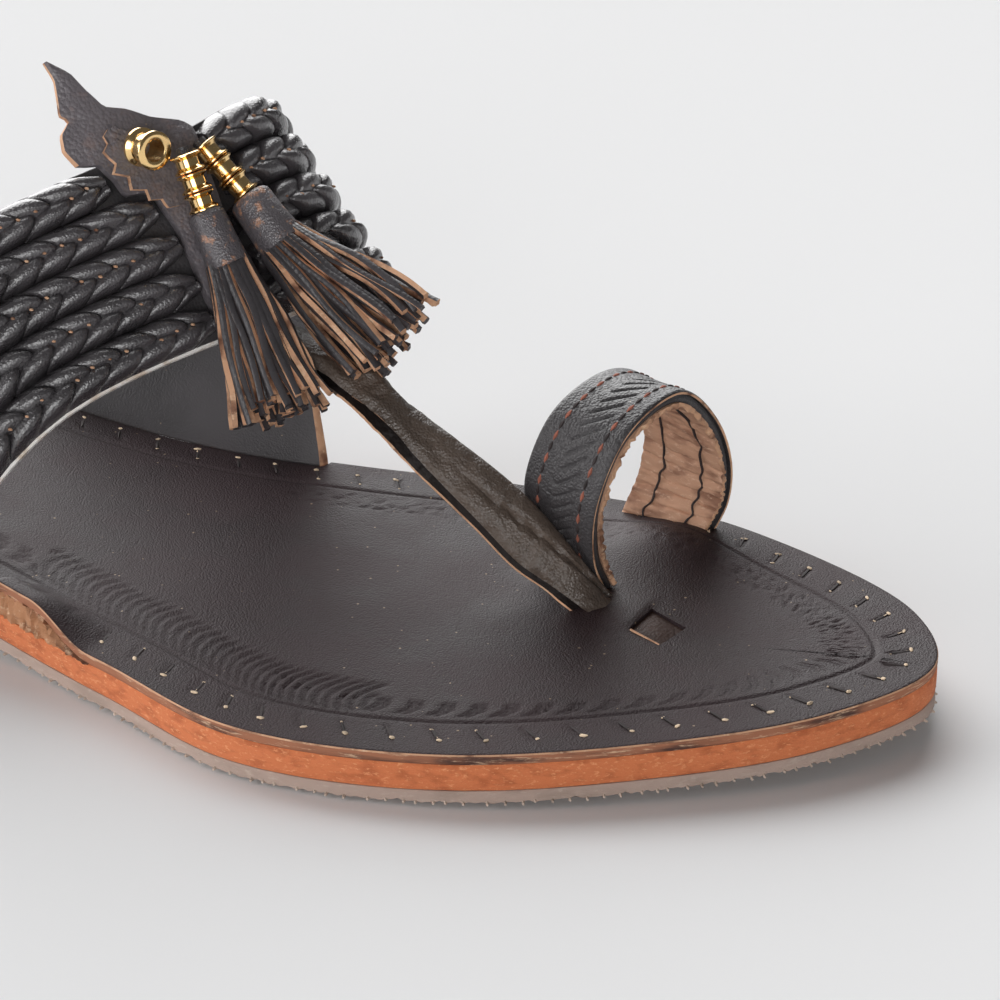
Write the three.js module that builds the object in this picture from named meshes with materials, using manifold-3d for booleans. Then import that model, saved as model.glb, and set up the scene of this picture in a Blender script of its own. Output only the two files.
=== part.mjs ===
// Kolhapuri sandal, right foot: a stacked leather sole, a plaited instep band,
// a crown patch with two tassels, a toe thong and a big-toe loop.
// Millimetres. +X points to the toe, +Y to the medial (big toe) side, +Z up.
// The pieces are laid out with x = 0 at the back of the heel and z = 0 on the
// ground; the last lines move the origin to the bottom centre of the whole.
import * as THREE from "three";
import { mergeVertices } from "three/addons/utils/BufferGeometryUtils.js";
import Module from "manifold-3d";

const wasm = await Module();
wasm.setup();

// ---------------------------------------------------------------- sizes
const GAP = 0.3; // glue line between pieces that meet

const SOLE = {
  length: 275.2,
  heelY: -0.1, // where the outline turns at the back of the heel
  toeY: 10.2, // and at the tip of the toe
  rubber: 2.5,
  midsole: 4.1,
  insole: 1.8,
  stations: 46,
};
// The outline of the sole: the two edges at each cross-section.
const OUTLINE = [
  { x: 7, lateral: -20.9, medial: 20.8 },
  { x: 32, lateral: -33.2, medial: 33.1 },
  { x: 75, lateral: -34.2, medial: 28.0 },
  { x: 118, lateral: -38.3, medial: 29.3 },
  { x: 156, lateral: -47.8, medial: 36.6 },
  { x: 185, lateral: -55.3, medial: 43.7 },
  { x: 216, lateral: -48.4, medial: 47.0 },
  { x: 244, lateral: -31.1, medial: 40.4 },
  { x: 266, lateral: -10.4, medial: 27.3 },
];
const EDGE_SAMPLES = 480; // points round the outline
const TOE_SPRING = { start: 195, run: 80, lift: 2.8 };
const HEEL_RISE = { full: 40, none: 150, lift: 8 };
const HEEL_BREAST = 62; // the heel lift ends here
const HEEL_STEPS = 22;

const WALL = 2.0; // leather of the instep band
// The instep band as an arch over the foot, from the lateral to the medial
// side. Each row is one station: its rear edge and its front edge. The two
// feet of the band stand on the midsole, so their y and z follow the sole.
const BAND = [
  { at: "lateral foot", rear: [76, 0, 0], front: [128, 0, 0] },
  { at: "lateral side", rear: [92, -43, 43], front: [125.5, -40.8, 20.8] },
  { at: "lateral shoulder", rear: [110.2, -27, 63.3], front: [134.5, -28, 38] },
  { at: "crest", rear: [133, 13.5, 75.2], front: [152.7, 12, 46] },
  { at: "medial shoulder", rear: [134.2, 35, 74.6], front: [159.5, 36.4, 44] },
  { at: "medial side", rear: [125, 45, 49], front: [145.6, 38.6, 27.2] },
  { at: "medial foot", rear: [84, 0, 0], front: [148.5, 0, 0] },
];
const BAND_STEPS = { across: 36, along: 6 };
const FOOT_SHARE = 1 / 6; // the part of the arch that a foot takes up
const NORMAL_STEP = 0.004; // step in u used to find the band's normal
// The room cut from the insole for the band's feet, in v and in mm
const EAR_ROOM = { margin: 0.01, drop: 3 };

// Five plaits run side by side over the band, each in a lateral and a medial
// half that end at the centre strip. u runs from 0 to 1 over the arch.
const PLAITS = { count: 5, foot: 0.09, steps: 16, margin: 0.012 };
// A plait's section: the height at its edges, its shoulders and its middle
const PLAIT_SECTION = { edge: 1.5, shoulderAt: 0.22, shoulder: 3.2, crown: 3.9 };
const PLAIT_ENDS = [
  { lateral: 0.437, medial: 0.52 },
  { lateral: 0.4545, medial: 0.519 },
  { lateral: 0.4575, medial: 0.508 },
  { lateral: 0.4555, medial: 0.503 },
  { lateral: 0.453, medial: 0.499 },
];

// The crown patch and the strip that runs forward from it lie on the band.
// v is 0 at the band's rear edge and 1 at its front edge, so the rows with a
// negative v are the pointed crown that stands up behind the band. near and
// far are millimetres from the centre line, to the lateral and medial side.
const PATCH = { centre: 0.45, mmPerU: 246, under: 0.5, over: 2.3, across: 5, between: 2 };
const PATCH_ROWS = [
  { v: -0.555, near: -2.3, far: -1.8 },
  { v: -0.46, near: -2.2, far: 0.2 },
  { v: -0.36, near: -3.2, far: 1.0 },
  { v: -0.29, near: -4.0, far: 1.8 },
  { v: -0.25, near: -3.2, far: 2.2 },
  { v: -0.2, near: -5.2, far: 5.2 },
  { v: -0.12, near: -6.0, far: 8.2 },
  { v: -0.03, near: -5.4, far: 13.6 },
  { v: 0.005, near: -2.8, far: 15.4 },
  { v: 0.1, near: -1.9, far: 15.4 },
  { v: 0.19, near: -1.6, far: 14.4 },
  { v: 0.215, near: 2.2, far: 14.1 },
  { v: 0.42, near: 3.0, far: 12.2 },
  { v: 0.62, near: 2.6, far: 11.0 },
  { v: 0.8, near: 1.8, far: 10.2 },
  { v: 1.0, near: 1.6, far: 9.6 },
];

// The folded toe thong: the two edges of the strip, from the band to the slot
// beside the big toe.
const THONG = { thickness: 3.0, steps: 22, sides: 8, roundness: 0.6 };
const THONG_ROWS = [
  { near: [152.6, 0.8, 45.6], far: [155.8, 10.0, 46.9] },
  { near: [163.5, 0.6, 43.6], far: [167.0, 9.2, 44.9] },
  { near: [171.6, 0.6, 40.6], far: [175.6, 7.4, 42.4] },
  { near: [177.9, 0.8, 37.2], far: [179.6, 7.6, 38.8] },
  { near: [187.2, 1.2, 29.4], far: [189.2, 7.6, 34.2] },
  { near: [197.3, 2.2, 21.0], far: [200.4, 8.0, 28.0] },
  { near: [204.2, 2.8, 15.2], far: [207.0, 8.4, 22.9] },
  { near: [210.5, 3.2, 11.3], far: [213.8, 8.6, 15.9] },
  { near: [217.4, 3.6, 6.4], far: [218.8, 9.4, 8.4] },
];

// The big-toe loop: outer face of the strap, rear and front edge.
const LOOP = { strap: 1.6, lining: 1.3, across: 26, along: 3 };
const LOOP_ROWS = [
  { at: "near foot", rear: [202, 19, 8.6], front: [216.2, 12.6, 8.6] },
  { at: "near low", rear: [201.2, 14, 18], front: [215.8, 8.2, 16.5] },
  { at: "near side", rear: [202, 10, 28.5], front: [217, 6.4, 28] },
  { at: "near shoulder", rear: [205, 13.5, 39.5], front: [220, 11.6, 39.8] },
  { at: "top", rear: [208.3, 25, 43.2], front: [223.6, 23.5, 43.4] },
  { at: "far shoulder", rear: [209.8, 38.5, 37.5], front: [225.5, 36, 34] },
  { at: "far side", rear: [209.5, 45, 25.6], front: [226, 42.3, 23] },
  { at: "far low", rear: [208, 46, 16], front: [225.2, 43.3, 15] },
  { at: "far foot", rear: [206, 44.4, 8.6], front: [223.2, 41, 8.6] },
];
const LOOP_FLOOR = 9.55; // the loop and the thong stand on the footbed here
const FLOOR_BLOCK = { x: 215, y: 20, width: 80, depth: 20 };

// A window cut through the insole in front of the thong.
const WINDOW = [
  [225.6, 2.3],
  [225.9, 10.5],
  [233.8, 6.8],
  [232.5, -0.5],
];
const WINDOW_CUT = { below: 4, depth: 10 };

// Brass spools, about 5 mm across, threaded on leather cord.
const SPOOL = { barrel: 1.95, flange: 2.65, bore: 1.55, rim: 0.5, sides: 14 };
const SPOOLS = 3; // on each tassel
const LIP = 1.6; // the barrel starts this many rims from the end of a spool
const CORD = { radius: 1.2, sides: 8, tail: 1.2 };
const CAP = { start: 0.55, sides: 14 }; // starts this far past the last spool
const RING = {
  centre: [134.7, 2.2, 76.3],
  axis: [0.9, -0.36, 0.1],
  barrel: 2.6,
  flange: 3.3,
  bore: 1.9,
  length: 4.6,
  rim: 0.9,
  sides: 18,
};
// The section of a fringe: how its flare grows and how far it starts inside
// the rim of its cap, across its width and its depth
const FRINGE = { steps: 6, points: 12, flare: 0.8, insetWide: 0.4, insetDeep: 0.6 };
// Each tassel hangs down a line from its top spool to the end of its fringe.
const TASSELS = [
  {
    name: "tassel_1",
    top: [139.7, 5.5, 75.2],
    neck: [144.0, 4.7, 66.1],
    hem: [149.6, 3.0, 57.9],
    end: [166.5, -8.0, 38.8],
    cap: [3.0, 3.5],
    fringe: { width: 7.4, depth: 3.2 },
    spread: [0.88, 0.46, 0.1],
  },
  {
    name: "tassel_2",
    top: [139.4, 11.7, 74.8],
    neck: [147.6, 12.4, 67.2],
    hem: [155.0, 11.8, 60.0],
    end: [180.0, 7.0, 48.6],
    cap: [3.6, 4.1],
    fringe: { width: 9.2, depth: 3.4 },
    spread: [0.48, 0.59, 0.64],
  },
];

// ------------------------------------------------------------ materials
const leather = (color, roughness) =>
  new THREE.MeshStandardMaterial({ color, roughness, metalness: 0 });
const MATERIALS = {
  rubber: leather(0x4a4642, 0.85),
  midsole: leather(0xa05a2c, 0.65),
  insole: leather(0x2b2624, 0.55),
  black: leather(0x232225, 0.5),
  thong: leather(0x38322c, 0.6),
  lining: leather(0xa87b5c, 0.85),
  fringe: leather(0x2c2522, 0.7),
  brass: new THREE.MeshStandardMaterial({ color: 0xd9a441, roughness: 0.2, metalness: 1 }),
};

// -------------------------------------------------------- solid helpers
const vec = (p) => new THREE.Vector3(...p);
const mix = THREE.MathUtils.lerp;
const ease = THREE.MathUtils.smoothstep;

/** A closed skin from points and triangles, with its faces turned outwards. */
function closedSkin(points, triangles) {
  let raw = new THREE.BufferGeometry();
  raw.setAttribute("position", new THREE.Float32BufferAttribute(points.flatMap((p) => p.toArray()), 3));
  raw.setIndex(triangles.flat());
  raw = mergeVertices(raw, 1e-3);
  const index = raw.index.array;
  const kept = [];
  for (let i = 0; i < index.length; i += 3) {
    const [a, b, c] = [index[i], index[i + 1], index[i + 2]];
    if (a !== b && b !== c && c !== a) kept.push([a, b, c]);
  }
  const at = (i) => new THREE.Vector3().fromBufferAttribute(raw.attributes.position, i);
  const volume = kept.reduce((sum, [a, b, c]) => sum + at(a).dot(at(b).cross(at(c))), 0);
  raw.setIndex(kept.flatMap(([a, b, c]) => (volume < 0 ? [a, c, b] : [a, b, c])));
  return raw;
}

/** A sheet with thickness: two grids of points joined round their border. */
function sheet(columns, rows, faceA, faceB) {
  const points = [];
  for (const face of [faceA, faceB]) {
    for (let i = 0; i <= columns; i++) {
      for (let j = 0; j <= rows; j++) points.push(face(i / columns, j / rows));
    }
  }
  const id = (side, i, j) => side * (columns + 1) * (rows + 1) + i * (rows + 1) + j;
  const triangles = [];
  const quad = (a, b, c, d) => triangles.push([a, b, c], [a, c, d]);
  for (let i = 0; i < columns; i++) {
    for (let j = 0; j < rows; j++) {
      quad(id(0, i, j), id(0, i + 1, j), id(0, i + 1, j + 1), id(0, i, j + 1));
      quad(id(1, i, j), id(1, i, j + 1), id(1, i + 1, j + 1), id(1, i + 1, j));
    }
    quad(id(0, i, 0), id(1, i, 0), id(1, i + 1, 0), id(0, i + 1, 0));
    quad(id(0, i, rows), id(0, i + 1, rows), id(1, i + 1, rows), id(1, i, rows));
  }
  for (let j = 0; j < rows; j++) {
    quad(id(0, 0, j), id(0, 0, j + 1), id(1, 0, j + 1), id(1, 0, j));
    quad(id(0, columns, j), id(1, columns, j), id(1, columns, j + 1), id(0, columns, j + 1));
  }
  return closedSkin(points, triangles);
}

/** A loft through rings that each have the same number of points. */
function loft(rings) {
  const size = rings[0].length;
  const points = rings.flat();
  const triangles = [];
  for (let r = 0; r < rings.length - 1; r++) {
    for (let k = 0; k < size; k++) {
      const a = r * size + k;
      const b = r * size + ((k + 1) % size);
      triangles.push([a, b, b + size], [a, b + size, a + size]);
    }
  }
  const last = (rings.length - 1) * size;
  for (let k = 1; k < size - 1; k++) {
    triangles.push([0, k + 1, k], [last, last + k, last + k + 1]);
  }
  return closedSkin(points, triangles);
}

/** Turns a lathe or tube that runs along its own axis to lie from a to b. */
function lay(geometry, a, b) {
  const along = b.clone().sub(a).normalize();
  const turn = new THREE.Quaternion().setFromUnitVectors(new THREE.Vector3(0, 1, 0), along);
  geometry.applyQuaternion(turn);
  geometry.translate(a.x, a.y, a.z);
  return geometry;
}

function toManifold(geometry) {
  const bare = new THREE.BufferGeometry();
  bare.setAttribute("position", geometry.getAttribute("position").clone());
  bare.setIndex(geometry.index ? geometry.index.clone() : null);
  const merged = mergeVertices(bare, 1e-3);
  return new wasm.Manifold(
    new wasm.Mesh({
      numProp: 3,
      vertProperties: new Float32Array(merged.getAttribute("position").array),
      triVerts: new Uint32Array(merged.index.array),
    }),
  );
}

/** Cuts the second solid away from the first. */
function cut(geometry, ...tools) {
  let solid = toManifold(geometry);
  for (const tool of tools) solid = solid.subtract(toManifold(tool));
  const { vertProperties, triVerts } = solid.getMesh();
  const result = new THREE.BufferGeometry();
  result.setAttribute("position", new THREE.BufferAttribute(vertProperties, 3));
  result.setIndex(new THREE.BufferAttribute(triVerts, 1));
  return result;
}

// ------------------------------------------------------------- the sole
const outlineCurve = new THREE.CatmullRomCurve3(
  [
    [0, SOLE.heelY],
    ...OUTLINE.map((row) => [row.x, row.lateral]),
    [SOLE.length, SOLE.toeY],
    ...OUTLINE.map((row) => [row.x, row.medial]).reverse(),
  ].map(([x, y]) => new THREE.Vector3(x, y, 0)),
  true,
  "centripetal",
);
const edgePoints = outlineCurve.getPoints(EDGE_SAMPLES);
const sideEdges = {
  lateral: edgePoints.slice(0, EDGE_SAMPLES / 2 + 1),
  medial: edgePoints.slice(EDGE_SAMPLES / 2).reverse(),
};

/** The y of the sole's edge at x, on the lateral or the medial side. */
function edgeY(side, x) {
  const points = sideEdges[side];
  const next = points.findIndex((p) => p.x >= x);
  if (next <= 0) return points[next === 0 ? 0 : points.length - 1].y;
  const [a, b] = [points[next - 1], points[next]];
  return mix(a.y, b.y, (x - a.x) / (b.x - a.x));
}

/** How far the underside of the sole stands off the ground at x. */
function groundClearance(x) {
  const spring = Math.max(0, (x - TOE_SPRING.start) / TOE_SPRING.run);
  const rise = ease(HEEL_RISE.none - x, 0, HEEL_RISE.none - HEEL_RISE.full);
  return TOE_SPRING.lift * spring ** 2 + HEEL_RISE.lift * rise;
}

const MIDSOLE_BOTTOM = SOLE.rubber + GAP;
const MIDSOLE_TOP = MIDSOLE_BOTTOM + SOLE.midsole;
const INSOLE_BOTTOM = MIDSOLE_TOP + GAP;
const INSOLE_TOP = INSOLE_BOTTOM + SOLE.insole;

/** Stations from heel to toe, closer together where the outline turns. */
const soleX = (t) => (SOLE.length * (1 - Math.cos(Math.PI * t))) / 2;

/** One layer of the sole between two heights over its curved underside. */
function soleLayer(bottom, top) {
  const face = (height) => (t, s) => {
    const x = soleX(t);
    const y = mix(edgeY("lateral", x), edgeY("medial", x), s);
    return new THREE.Vector3(x, y, groundClearance(x) + height);
  };
  return sheet(SOLE.stations, 1, face(top), face(bottom));
}

/** The heel lift fills the space between the raised sole and the ground. */
function heelLift() {
  const point = (t, s, z) => {
    const x = HEEL_BREAST * (1 - Math.cos((Math.PI / 2) * t));
    return new THREE.Vector3(x, mix(edgeY("lateral", x), edgeY("medial", x), s), z(x));
  };
  return sheet(
    HEEL_STEPS,
    1,
    (t, s) => point(t, s, (x) => groundClearance(x) - GAP),
    (t, s) => point(t, s, () => 0),
  );
}

/** The window through the insole in front of the thong. */
function windowCutter() {
  const shape = new THREE.Shape(WINDOW.map(([x, y]) => new THREE.Vector2(x, y)));
  const cutter = new THREE.ExtrudeGeometry(shape, { depth: WINDOW_CUT.depth, bevelEnabled: false });
  cutter.translate(0, 0, INSOLE_BOTTOM - WINDOW_CUT.below);
  return cutter;
}

// ------------------------------------------------------ the instep band
/** A band's foot stands on the midsole, flush with the edge of the sole. */
function bandFoot(side, x) {
  return new THREE.Vector3(x, edgeY(side, x), groundClearance(x) + MIDSOLE_TOP + GAP);
}

/** One edge of the band, rear or front, as a curve over the foot. */
function bandEdge(edge) {
  const last = BAND.length - 1;
  const points = BAND.map((row, i) => {
    if (i === 0) return bandFoot("lateral", row[edge][0]);
    return i === last ? bandFoot("medial", row[edge][0]) : vec(row[edge]);
  });
  return new THREE.CatmullRomCurve3(points, false, "centripetal");
}
const bandRear = bandEdge("rear");
const bandFront = bandEdge("front");

/** The band's outer face: u over the arch, v from its rear to its front. */
function band(u, v) {
  const point = bandRear.getPoint(u).lerp(bandFront.getPoint(u), v);
  // between the edges, each foot keeps to the curved edge of the sole
  const side = u < 0.5 ? "lateral" : "medial";
  const foot = u < 0.5 ? BAND[0] : BAND[BAND.length - 1];
  const [rearX, frontX] = [foot.rear[0], foot.front[0]];
  const straight = mix(edgeY(side, rearX), edgeY(side, frontX), v);
  const nearFoot = 1 - ease(Math.min(u, 1 - u), 0, FOOT_SHARE);
  point.y += nearFoot * (edgeY(side, mix(rearX, frontX, v)) - straight);
  return point;
}

/** A point at a height over the band's outer face. */
function onBand(u, v, height) {
  const [before, after] = [Math.max(0, u - NORMAL_STEP), Math.min(1, u + NORMAL_STEP)];
  const over = band(after, v).sub(band(before, v));
  const along = band(u, 1).sub(band(u, 0));
  const normal = along.cross(over).normalize();
  return band(u, v).addScaledVector(normal, height);
}

/** The band's wall between two heights; drop carries its feet further down. */
function bandWall(inner, outer, from, to, drop) {
  const steps = BAND_STEPS.across;
  const face = (height) => (s, t) => {
    const step = s * (steps + 2) - 1;
    const u = THREE.MathUtils.clamp(step / steps, 0, 1);
    const point = onBand(u, mix(from, to, t), height);
    if (step < -0.5 || step > steps + 0.5) point.z -= drop;
    return point;
  };
  return sheet(steps + 2, BAND_STEPS.along, face(outer), face(inner));
}

/** One half of a plait: a strip with a crowned section. */
function plait(index, fromU, toU) {
  const { edge, shoulderAt, shoulder, crown } = PLAIT_SECTION;
  const width = 1 / PLAITS.count;
  const left = index * width + PLAITS.margin;
  const right = (index + 1) * width - PLAITS.margin;
  const section = [
    [0, GAP],
    [1, GAP],
    [1, edge],
    [1 - shoulderAt, shoulder],
    [0.5, crown],
    [shoulderAt, shoulder],
    [0, edge],
  ];
  const rings = [];
  for (let i = 0; i <= PLAITS.steps; i++) {
    const u = mix(fromU, toU, i / PLAITS.steps);
    rings.push(section.map(([s, height]) => onBand(u, mix(left, right, s), height)));
  }
  return loft(rings);
}

/** How far the patch reaches to one side at v, straight between its rows. */
function patchHalf(column, v) {
  const next = Math.max(1, PATCH_ROWS.findIndex((row) => row.v >= v - 1e-9));
  const [a, b] = [PATCH_ROWS[next - 1], PATCH_ROWS[next]];
  return mix(a[column], b[column], (v - a.v) / (b.v - a.v));
}

function crownPatch() {
  const intervals = PATCH_ROWS.length - 1;
  const face = (height) => (s, t) => {
    const place = s * intervals;
    const i = Math.min(intervals - 1, Math.floor(place));
    const v = mix(PATCH_ROWS[i].v, PATCH_ROWS[i + 1].v, place - i);
    const mm = mix(patchHalf("near", v), patchHalf("far", v), t);
    return onBand(PATCH.centre + mm / PATCH.mmPerU, v, height);
  };
  return sheet(intervals * PATCH.between, PATCH.across, face(PATCH.over), face(PATCH.under));
}

// ------------------------------------------- thong and loop on the footbed
/** Everything below the footbed, to trim what stands on it. */
function footbedBlock() {
  const { x, y, width, depth } = FLOOR_BLOCK;
  const block = new THREE.BoxGeometry(width, width, depth);
  block.translate(x, y, LOOP_FLOOR - depth / 2);
  return block;
}

/** A cosine or sine pushed outwards, so a circle fills more of its square. */
const swell = (value) => Math.sign(value) * Math.abs(value) ** THONG.roundness;

function toeThong() {
  const curve = (edge) =>
    new THREE.CatmullRomCurve3(THONG_ROWS.map((row) => vec(row[edge])), false, "centripetal");
  const near = curve("near");
  const far = curve("far");
  const rings = [];
  for (let i = 0; i <= THONG.steps; i++) {
    const t = i / THONG.steps;
    const [a, b] = [near.getPoint(t), far.getPoint(t)];
    const centre = a.clone().lerp(b, 0.5);
    const side = b.clone().sub(a);
    const along = near.getTangent(t).add(far.getTangent(t));
    const up = side.clone().cross(along).normalize();
    if (up.z < 0) up.negate();
    rings.push(
      [...Array(THONG.sides).keys()].map((k) => {
        const angle = (Math.PI * (2 * k + 1)) / THONG.sides;
        const across = swell(Math.cos(angle));
        const lift = swell(Math.sin(angle));
        return centre
          .clone()
          .addScaledVector(side, 0.5 * across)
          .addScaledVector(up, (THONG.thickness / 2) * lift);
      }),
    );
  }
  return cut(loft(rings), footbedBlock());
}

/** One layer of the toe loop between two depths under its outer face. */
function toeLoopLayer(outer, inner) {
  const curve = (edge) =>
    new THREE.CatmullRomCurve3(LOOP_ROWS.map((row) => vec(row[edge])), false, "centripetal");
  const rear = curve("rear");
  const front = curve("front");
  const surface = (s, t) => rear.getPoint(s).lerp(front.getPoint(s), t);
  const face = (depth) => (s, t) => {
    const over = rear.getTangent(s).lerp(front.getTangent(s), t);
    const along = front.getPoint(s).sub(rear.getPoint(s));
    const inward = over.cross(along).normalize();
    return surface(s, t).addScaledVector(inward, depth);
  };
  return cut(sheet(LOOP.across, LOOP.along, face(outer), face(inner)), footbedBlock());
}

// ------------------------------------------------- brass and the tassels
/** A flanged tube round the Y axis, from y = 0 to its length. */
function spoolGeometry({ barrel, flange, bore, length, rim, sides }) {
  const profile = [
    [bore, 0],
    [flange, 0],
    [flange, rim],
    [barrel, rim * LIP],
    [barrel, length - rim * LIP],
    [flange, length - rim],
    [flange, length],
    [bore, length],
    [bore, 0],
  ].map(([r, y]) => new THREE.Vector2(r, y));
  return new THREE.LatheGeometry(profile, sides);
}

function ringGeometry() {
  const centre = vec(RING.centre);
  const axis = vec(RING.axis).normalize();
  const start = centre.clone().addScaledVector(axis, -RING.length / 2);
  return lay(spoolGeometry(RING), start, start.clone().add(axis));
}

/** A spool between two fractions of the way from the tassel's top to neck. */
function tasselSpool(tassel, index) {
  const [top, neck] = [vec(tassel.top), vec(tassel.neck)];
  const pitch = top.distanceTo(neck) / SPOOLS;
  const start = top.clone().lerp(neck, index / SPOOLS);
  return lay(spoolGeometry({ ...SPOOL, length: pitch - GAP }), start, neck);
}

/** A round bar from a to b, closed at both ends. */
function bar(a, b, radiusA, radiusB, sides) {
  const length = a.distanceTo(b);
  const profile = [
    [0, 0],
    [radiusA, 0],
    [radiusB, length],
    [0, length],
  ].map(([r, y]) => new THREE.Vector2(r, y));
  return lay(new THREE.LatheGeometry(profile, sides), a, b);
}

function tasselCord(tassel) {
  const [top, neck] = [vec(tassel.top), vec(tassel.neck)];
  const back = top.clone().sub(neck).normalize();
  const start = top.clone().addScaledVector(back, CORD.tail);
  const end = neck.clone().addScaledVector(back, GAP);
  return bar(start, end, CORD.radius, CORD.radius, CORD.sides);
}

/** The leather cap, grown by a margin on all sides where one is given. */
function tasselCap(tassel, margin = 0) {
  const [neck, hem] = [vec(tassel.neck), vec(tassel.hem)];
  const along = hem.clone().sub(neck).normalize();
  const from = neck.addScaledVector(along, CAP.start - margin);
  const to = hem.addScaledVector(along, margin);
  return bar(from, to, tassel.cap[0] + margin, tassel.cap[1] + margin, CAP.sides);
}

/** The fringe as one closed, flared bundle. */
function tasselFringe(tassel) {
  const [hem, end] = [vec(tassel.hem), vec(tassel.end)];
  const along = end.clone().sub(hem).normalize();
  const wide = vec(tassel.spread);
  wide.addScaledVector(along, -wide.dot(along)).normalize();
  const deep = along.clone().cross(wide);
  const rings = [];
  const { steps, points, flare, insetWide, insetDeep } = FRINGE;
  for (let i = 0; i <= steps; i++) {
    const t = i / steps;
    const centre = hem.clone().lerp(end, t);
    const halfWidth = mix(tassel.cap[1] - insetWide, tassel.fringe.width, t ** flare);
    const halfDepth = mix(tassel.cap[1] - insetDeep, tassel.fringe.depth, t);
    rings.push(
      [...Array(points).keys()].map((k) => {
        const angle = (2 * Math.PI * k) / points;
        return centre
          .clone()
          .addScaledVector(wide, halfWidth * Math.cos(angle))
          .addScaledVector(deep, halfDepth * Math.sin(angle));
      }),
    );
  }
  return cut(loft(rings), tasselCap(tassel, GAP));
}

// ------------------------------------------------------------- assembly
const sandal = new THREE.Group();

function piece(name, geometry, material) {
  const mesh = new THREE.Mesh(geometry, MATERIALS[material]);
  mesh.name = name;
  sandal.add(mesh);
}

function addSole() {
  const { margin, drop } = EAR_ROOM;
  const earRoom = bandWall(-WALL - GAP, WALL, -margin, 1 + margin, drop);
  piece("heel_lift", heelLift(), "rubber");
  piece("outsole", soleLayer(0, SOLE.rubber), "rubber");
  piece("midsole", soleLayer(MIDSOLE_BOTTOM, MIDSOLE_TOP), "midsole");
  piece("insole", cut(soleLayer(INSOLE_BOTTOM, INSOLE_TOP), earRoom, windowCutter()), "insole");
}

function addUpper() {
  piece("upper", bandWall(-WALL, 0, 0, 1, 0), "black");
  PLAIT_ENDS.forEach((end, i) => {
    piece(`plait_lateral_${i + 1}`, plait(i, PLAITS.foot, end.lateral), "black");
    piece(`plait_medial_${i + 1}`, plait(i, end.medial, 1 - PLAITS.foot), "black");
  });
  piece("crown_patch", crownPatch(), "black");
  piece("toe_thong", toeThong(), "thong");
  piece("toe_loop", toeLoopLayer(0, LOOP.strap), "black");
  const liningTop = LOOP.strap + GAP;
  piece("toe_loop_lining", toeLoopLayer(liningTop, liningTop + LOOP.lining), "lining");
}

function addTassels() {
  piece("brass_ring", ringGeometry(), "brass");
  for (const tassel of TASSELS) {
    for (let i = 0; i < SPOOLS; i++) {
      piece(`${tassel.name}_spool_${i + 1}`, tasselSpool(tassel, i), "brass");
    }
    piece(`${tassel.name}_cord`, tasselCord(tassel), "black");
    piece(`${tassel.name}_cap`, tasselCap(tassel), "black");
    piece(`${tassel.name}_fringe`, tasselFringe(tassel), "fringe");
  }
}

addSole();
addUpper();
addTassels();

// The origin goes to the bottom centre of the sandal's box.
const box = new THREE.Box3().setFromObject(sandal);
const middle = box.getCenter(new THREE.Vector3());
sandal.position.set(-middle.x, -middle.y, -box.min.z);

const part = new THREE.Group();
part.add(sandal);
export default part;
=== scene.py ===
"""Kolhapuri sandal, right foot: the finish of a stacked leather sole, a plaited
instep band, a crown patch with brass spools and tassels, a toe thong and a loop
for the big toe.

The tables and the helpers that lay a form on the sole or the band work in
millimetres, with x = 0 at the back of the heel, +Y to the big toe side and z = 0
on the ground. place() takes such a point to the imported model's frame, in metres.
"""

import math
import random
from bisect import bisect_left

import bmesh
import bpy
from bpy.props import FloatProperty, FloatVectorProperty, IntProperty, PointerProperty
from mathutils import Matrix, Vector, noise


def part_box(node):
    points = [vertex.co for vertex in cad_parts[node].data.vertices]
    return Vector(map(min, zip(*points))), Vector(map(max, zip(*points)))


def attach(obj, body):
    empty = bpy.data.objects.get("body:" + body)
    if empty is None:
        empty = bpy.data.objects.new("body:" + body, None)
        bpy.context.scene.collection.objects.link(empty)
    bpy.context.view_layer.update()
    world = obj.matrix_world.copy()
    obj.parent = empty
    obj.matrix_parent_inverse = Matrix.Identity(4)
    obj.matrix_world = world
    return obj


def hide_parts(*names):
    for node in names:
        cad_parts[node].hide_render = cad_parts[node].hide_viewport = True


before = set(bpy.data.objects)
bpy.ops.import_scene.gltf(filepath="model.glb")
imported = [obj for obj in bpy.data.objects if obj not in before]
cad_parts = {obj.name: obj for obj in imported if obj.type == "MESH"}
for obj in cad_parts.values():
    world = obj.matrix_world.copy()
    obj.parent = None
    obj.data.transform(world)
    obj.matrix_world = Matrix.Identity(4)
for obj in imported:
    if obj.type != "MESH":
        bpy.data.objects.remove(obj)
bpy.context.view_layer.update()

bl_info = {
    "name": "Kolhapuri sandal finish",
    "version": (1, 0, 0),
    "blender": (4, 5, 0),
    "location": "View3D > Sidebar > Sandal",
    "description": "Leather, plaits, stitches, brass and tassels of a kolhapuri sandal",
    "category": "Object",
}

# ------------------------------------------------------------------ tables
GLUE = 0.3
SOLE_LENGTH = 275.2
HEEL_Y = -0.1
TOE_Y = 10.2
RUBBER = 2.5
MIDSOLE = 4.1
INSOLE = 1.8
MIDSOLE_BOTTOM = RUBBER + GLUE
MIDSOLE_TOP = MIDSOLE_BOTTOM + MIDSOLE
INSOLE_BOTTOM = MIDSOLE_TOP + GLUE
INSOLE_TOP = INSOLE_BOTTOM + INSOLE
TOE_SPRING = {"start": 195, "run": 80, "lift": 2.8}
HEEL_RISE = {"full": 40, "none": 150, "lift": 8}
HEEL_BREAST = 62
DEEP = 10.5  # rings of the footbed keep parallel to the edge down to this inset
WELD = 2e-6  # metres between corners that become one
RIM_STATIONS = {"outsole": 420, "midsole": 420, "insole": 560}  # on each side
SPINE = (28, 246)  # the rings of the sole shrink to this stretch of its middle line
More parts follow.
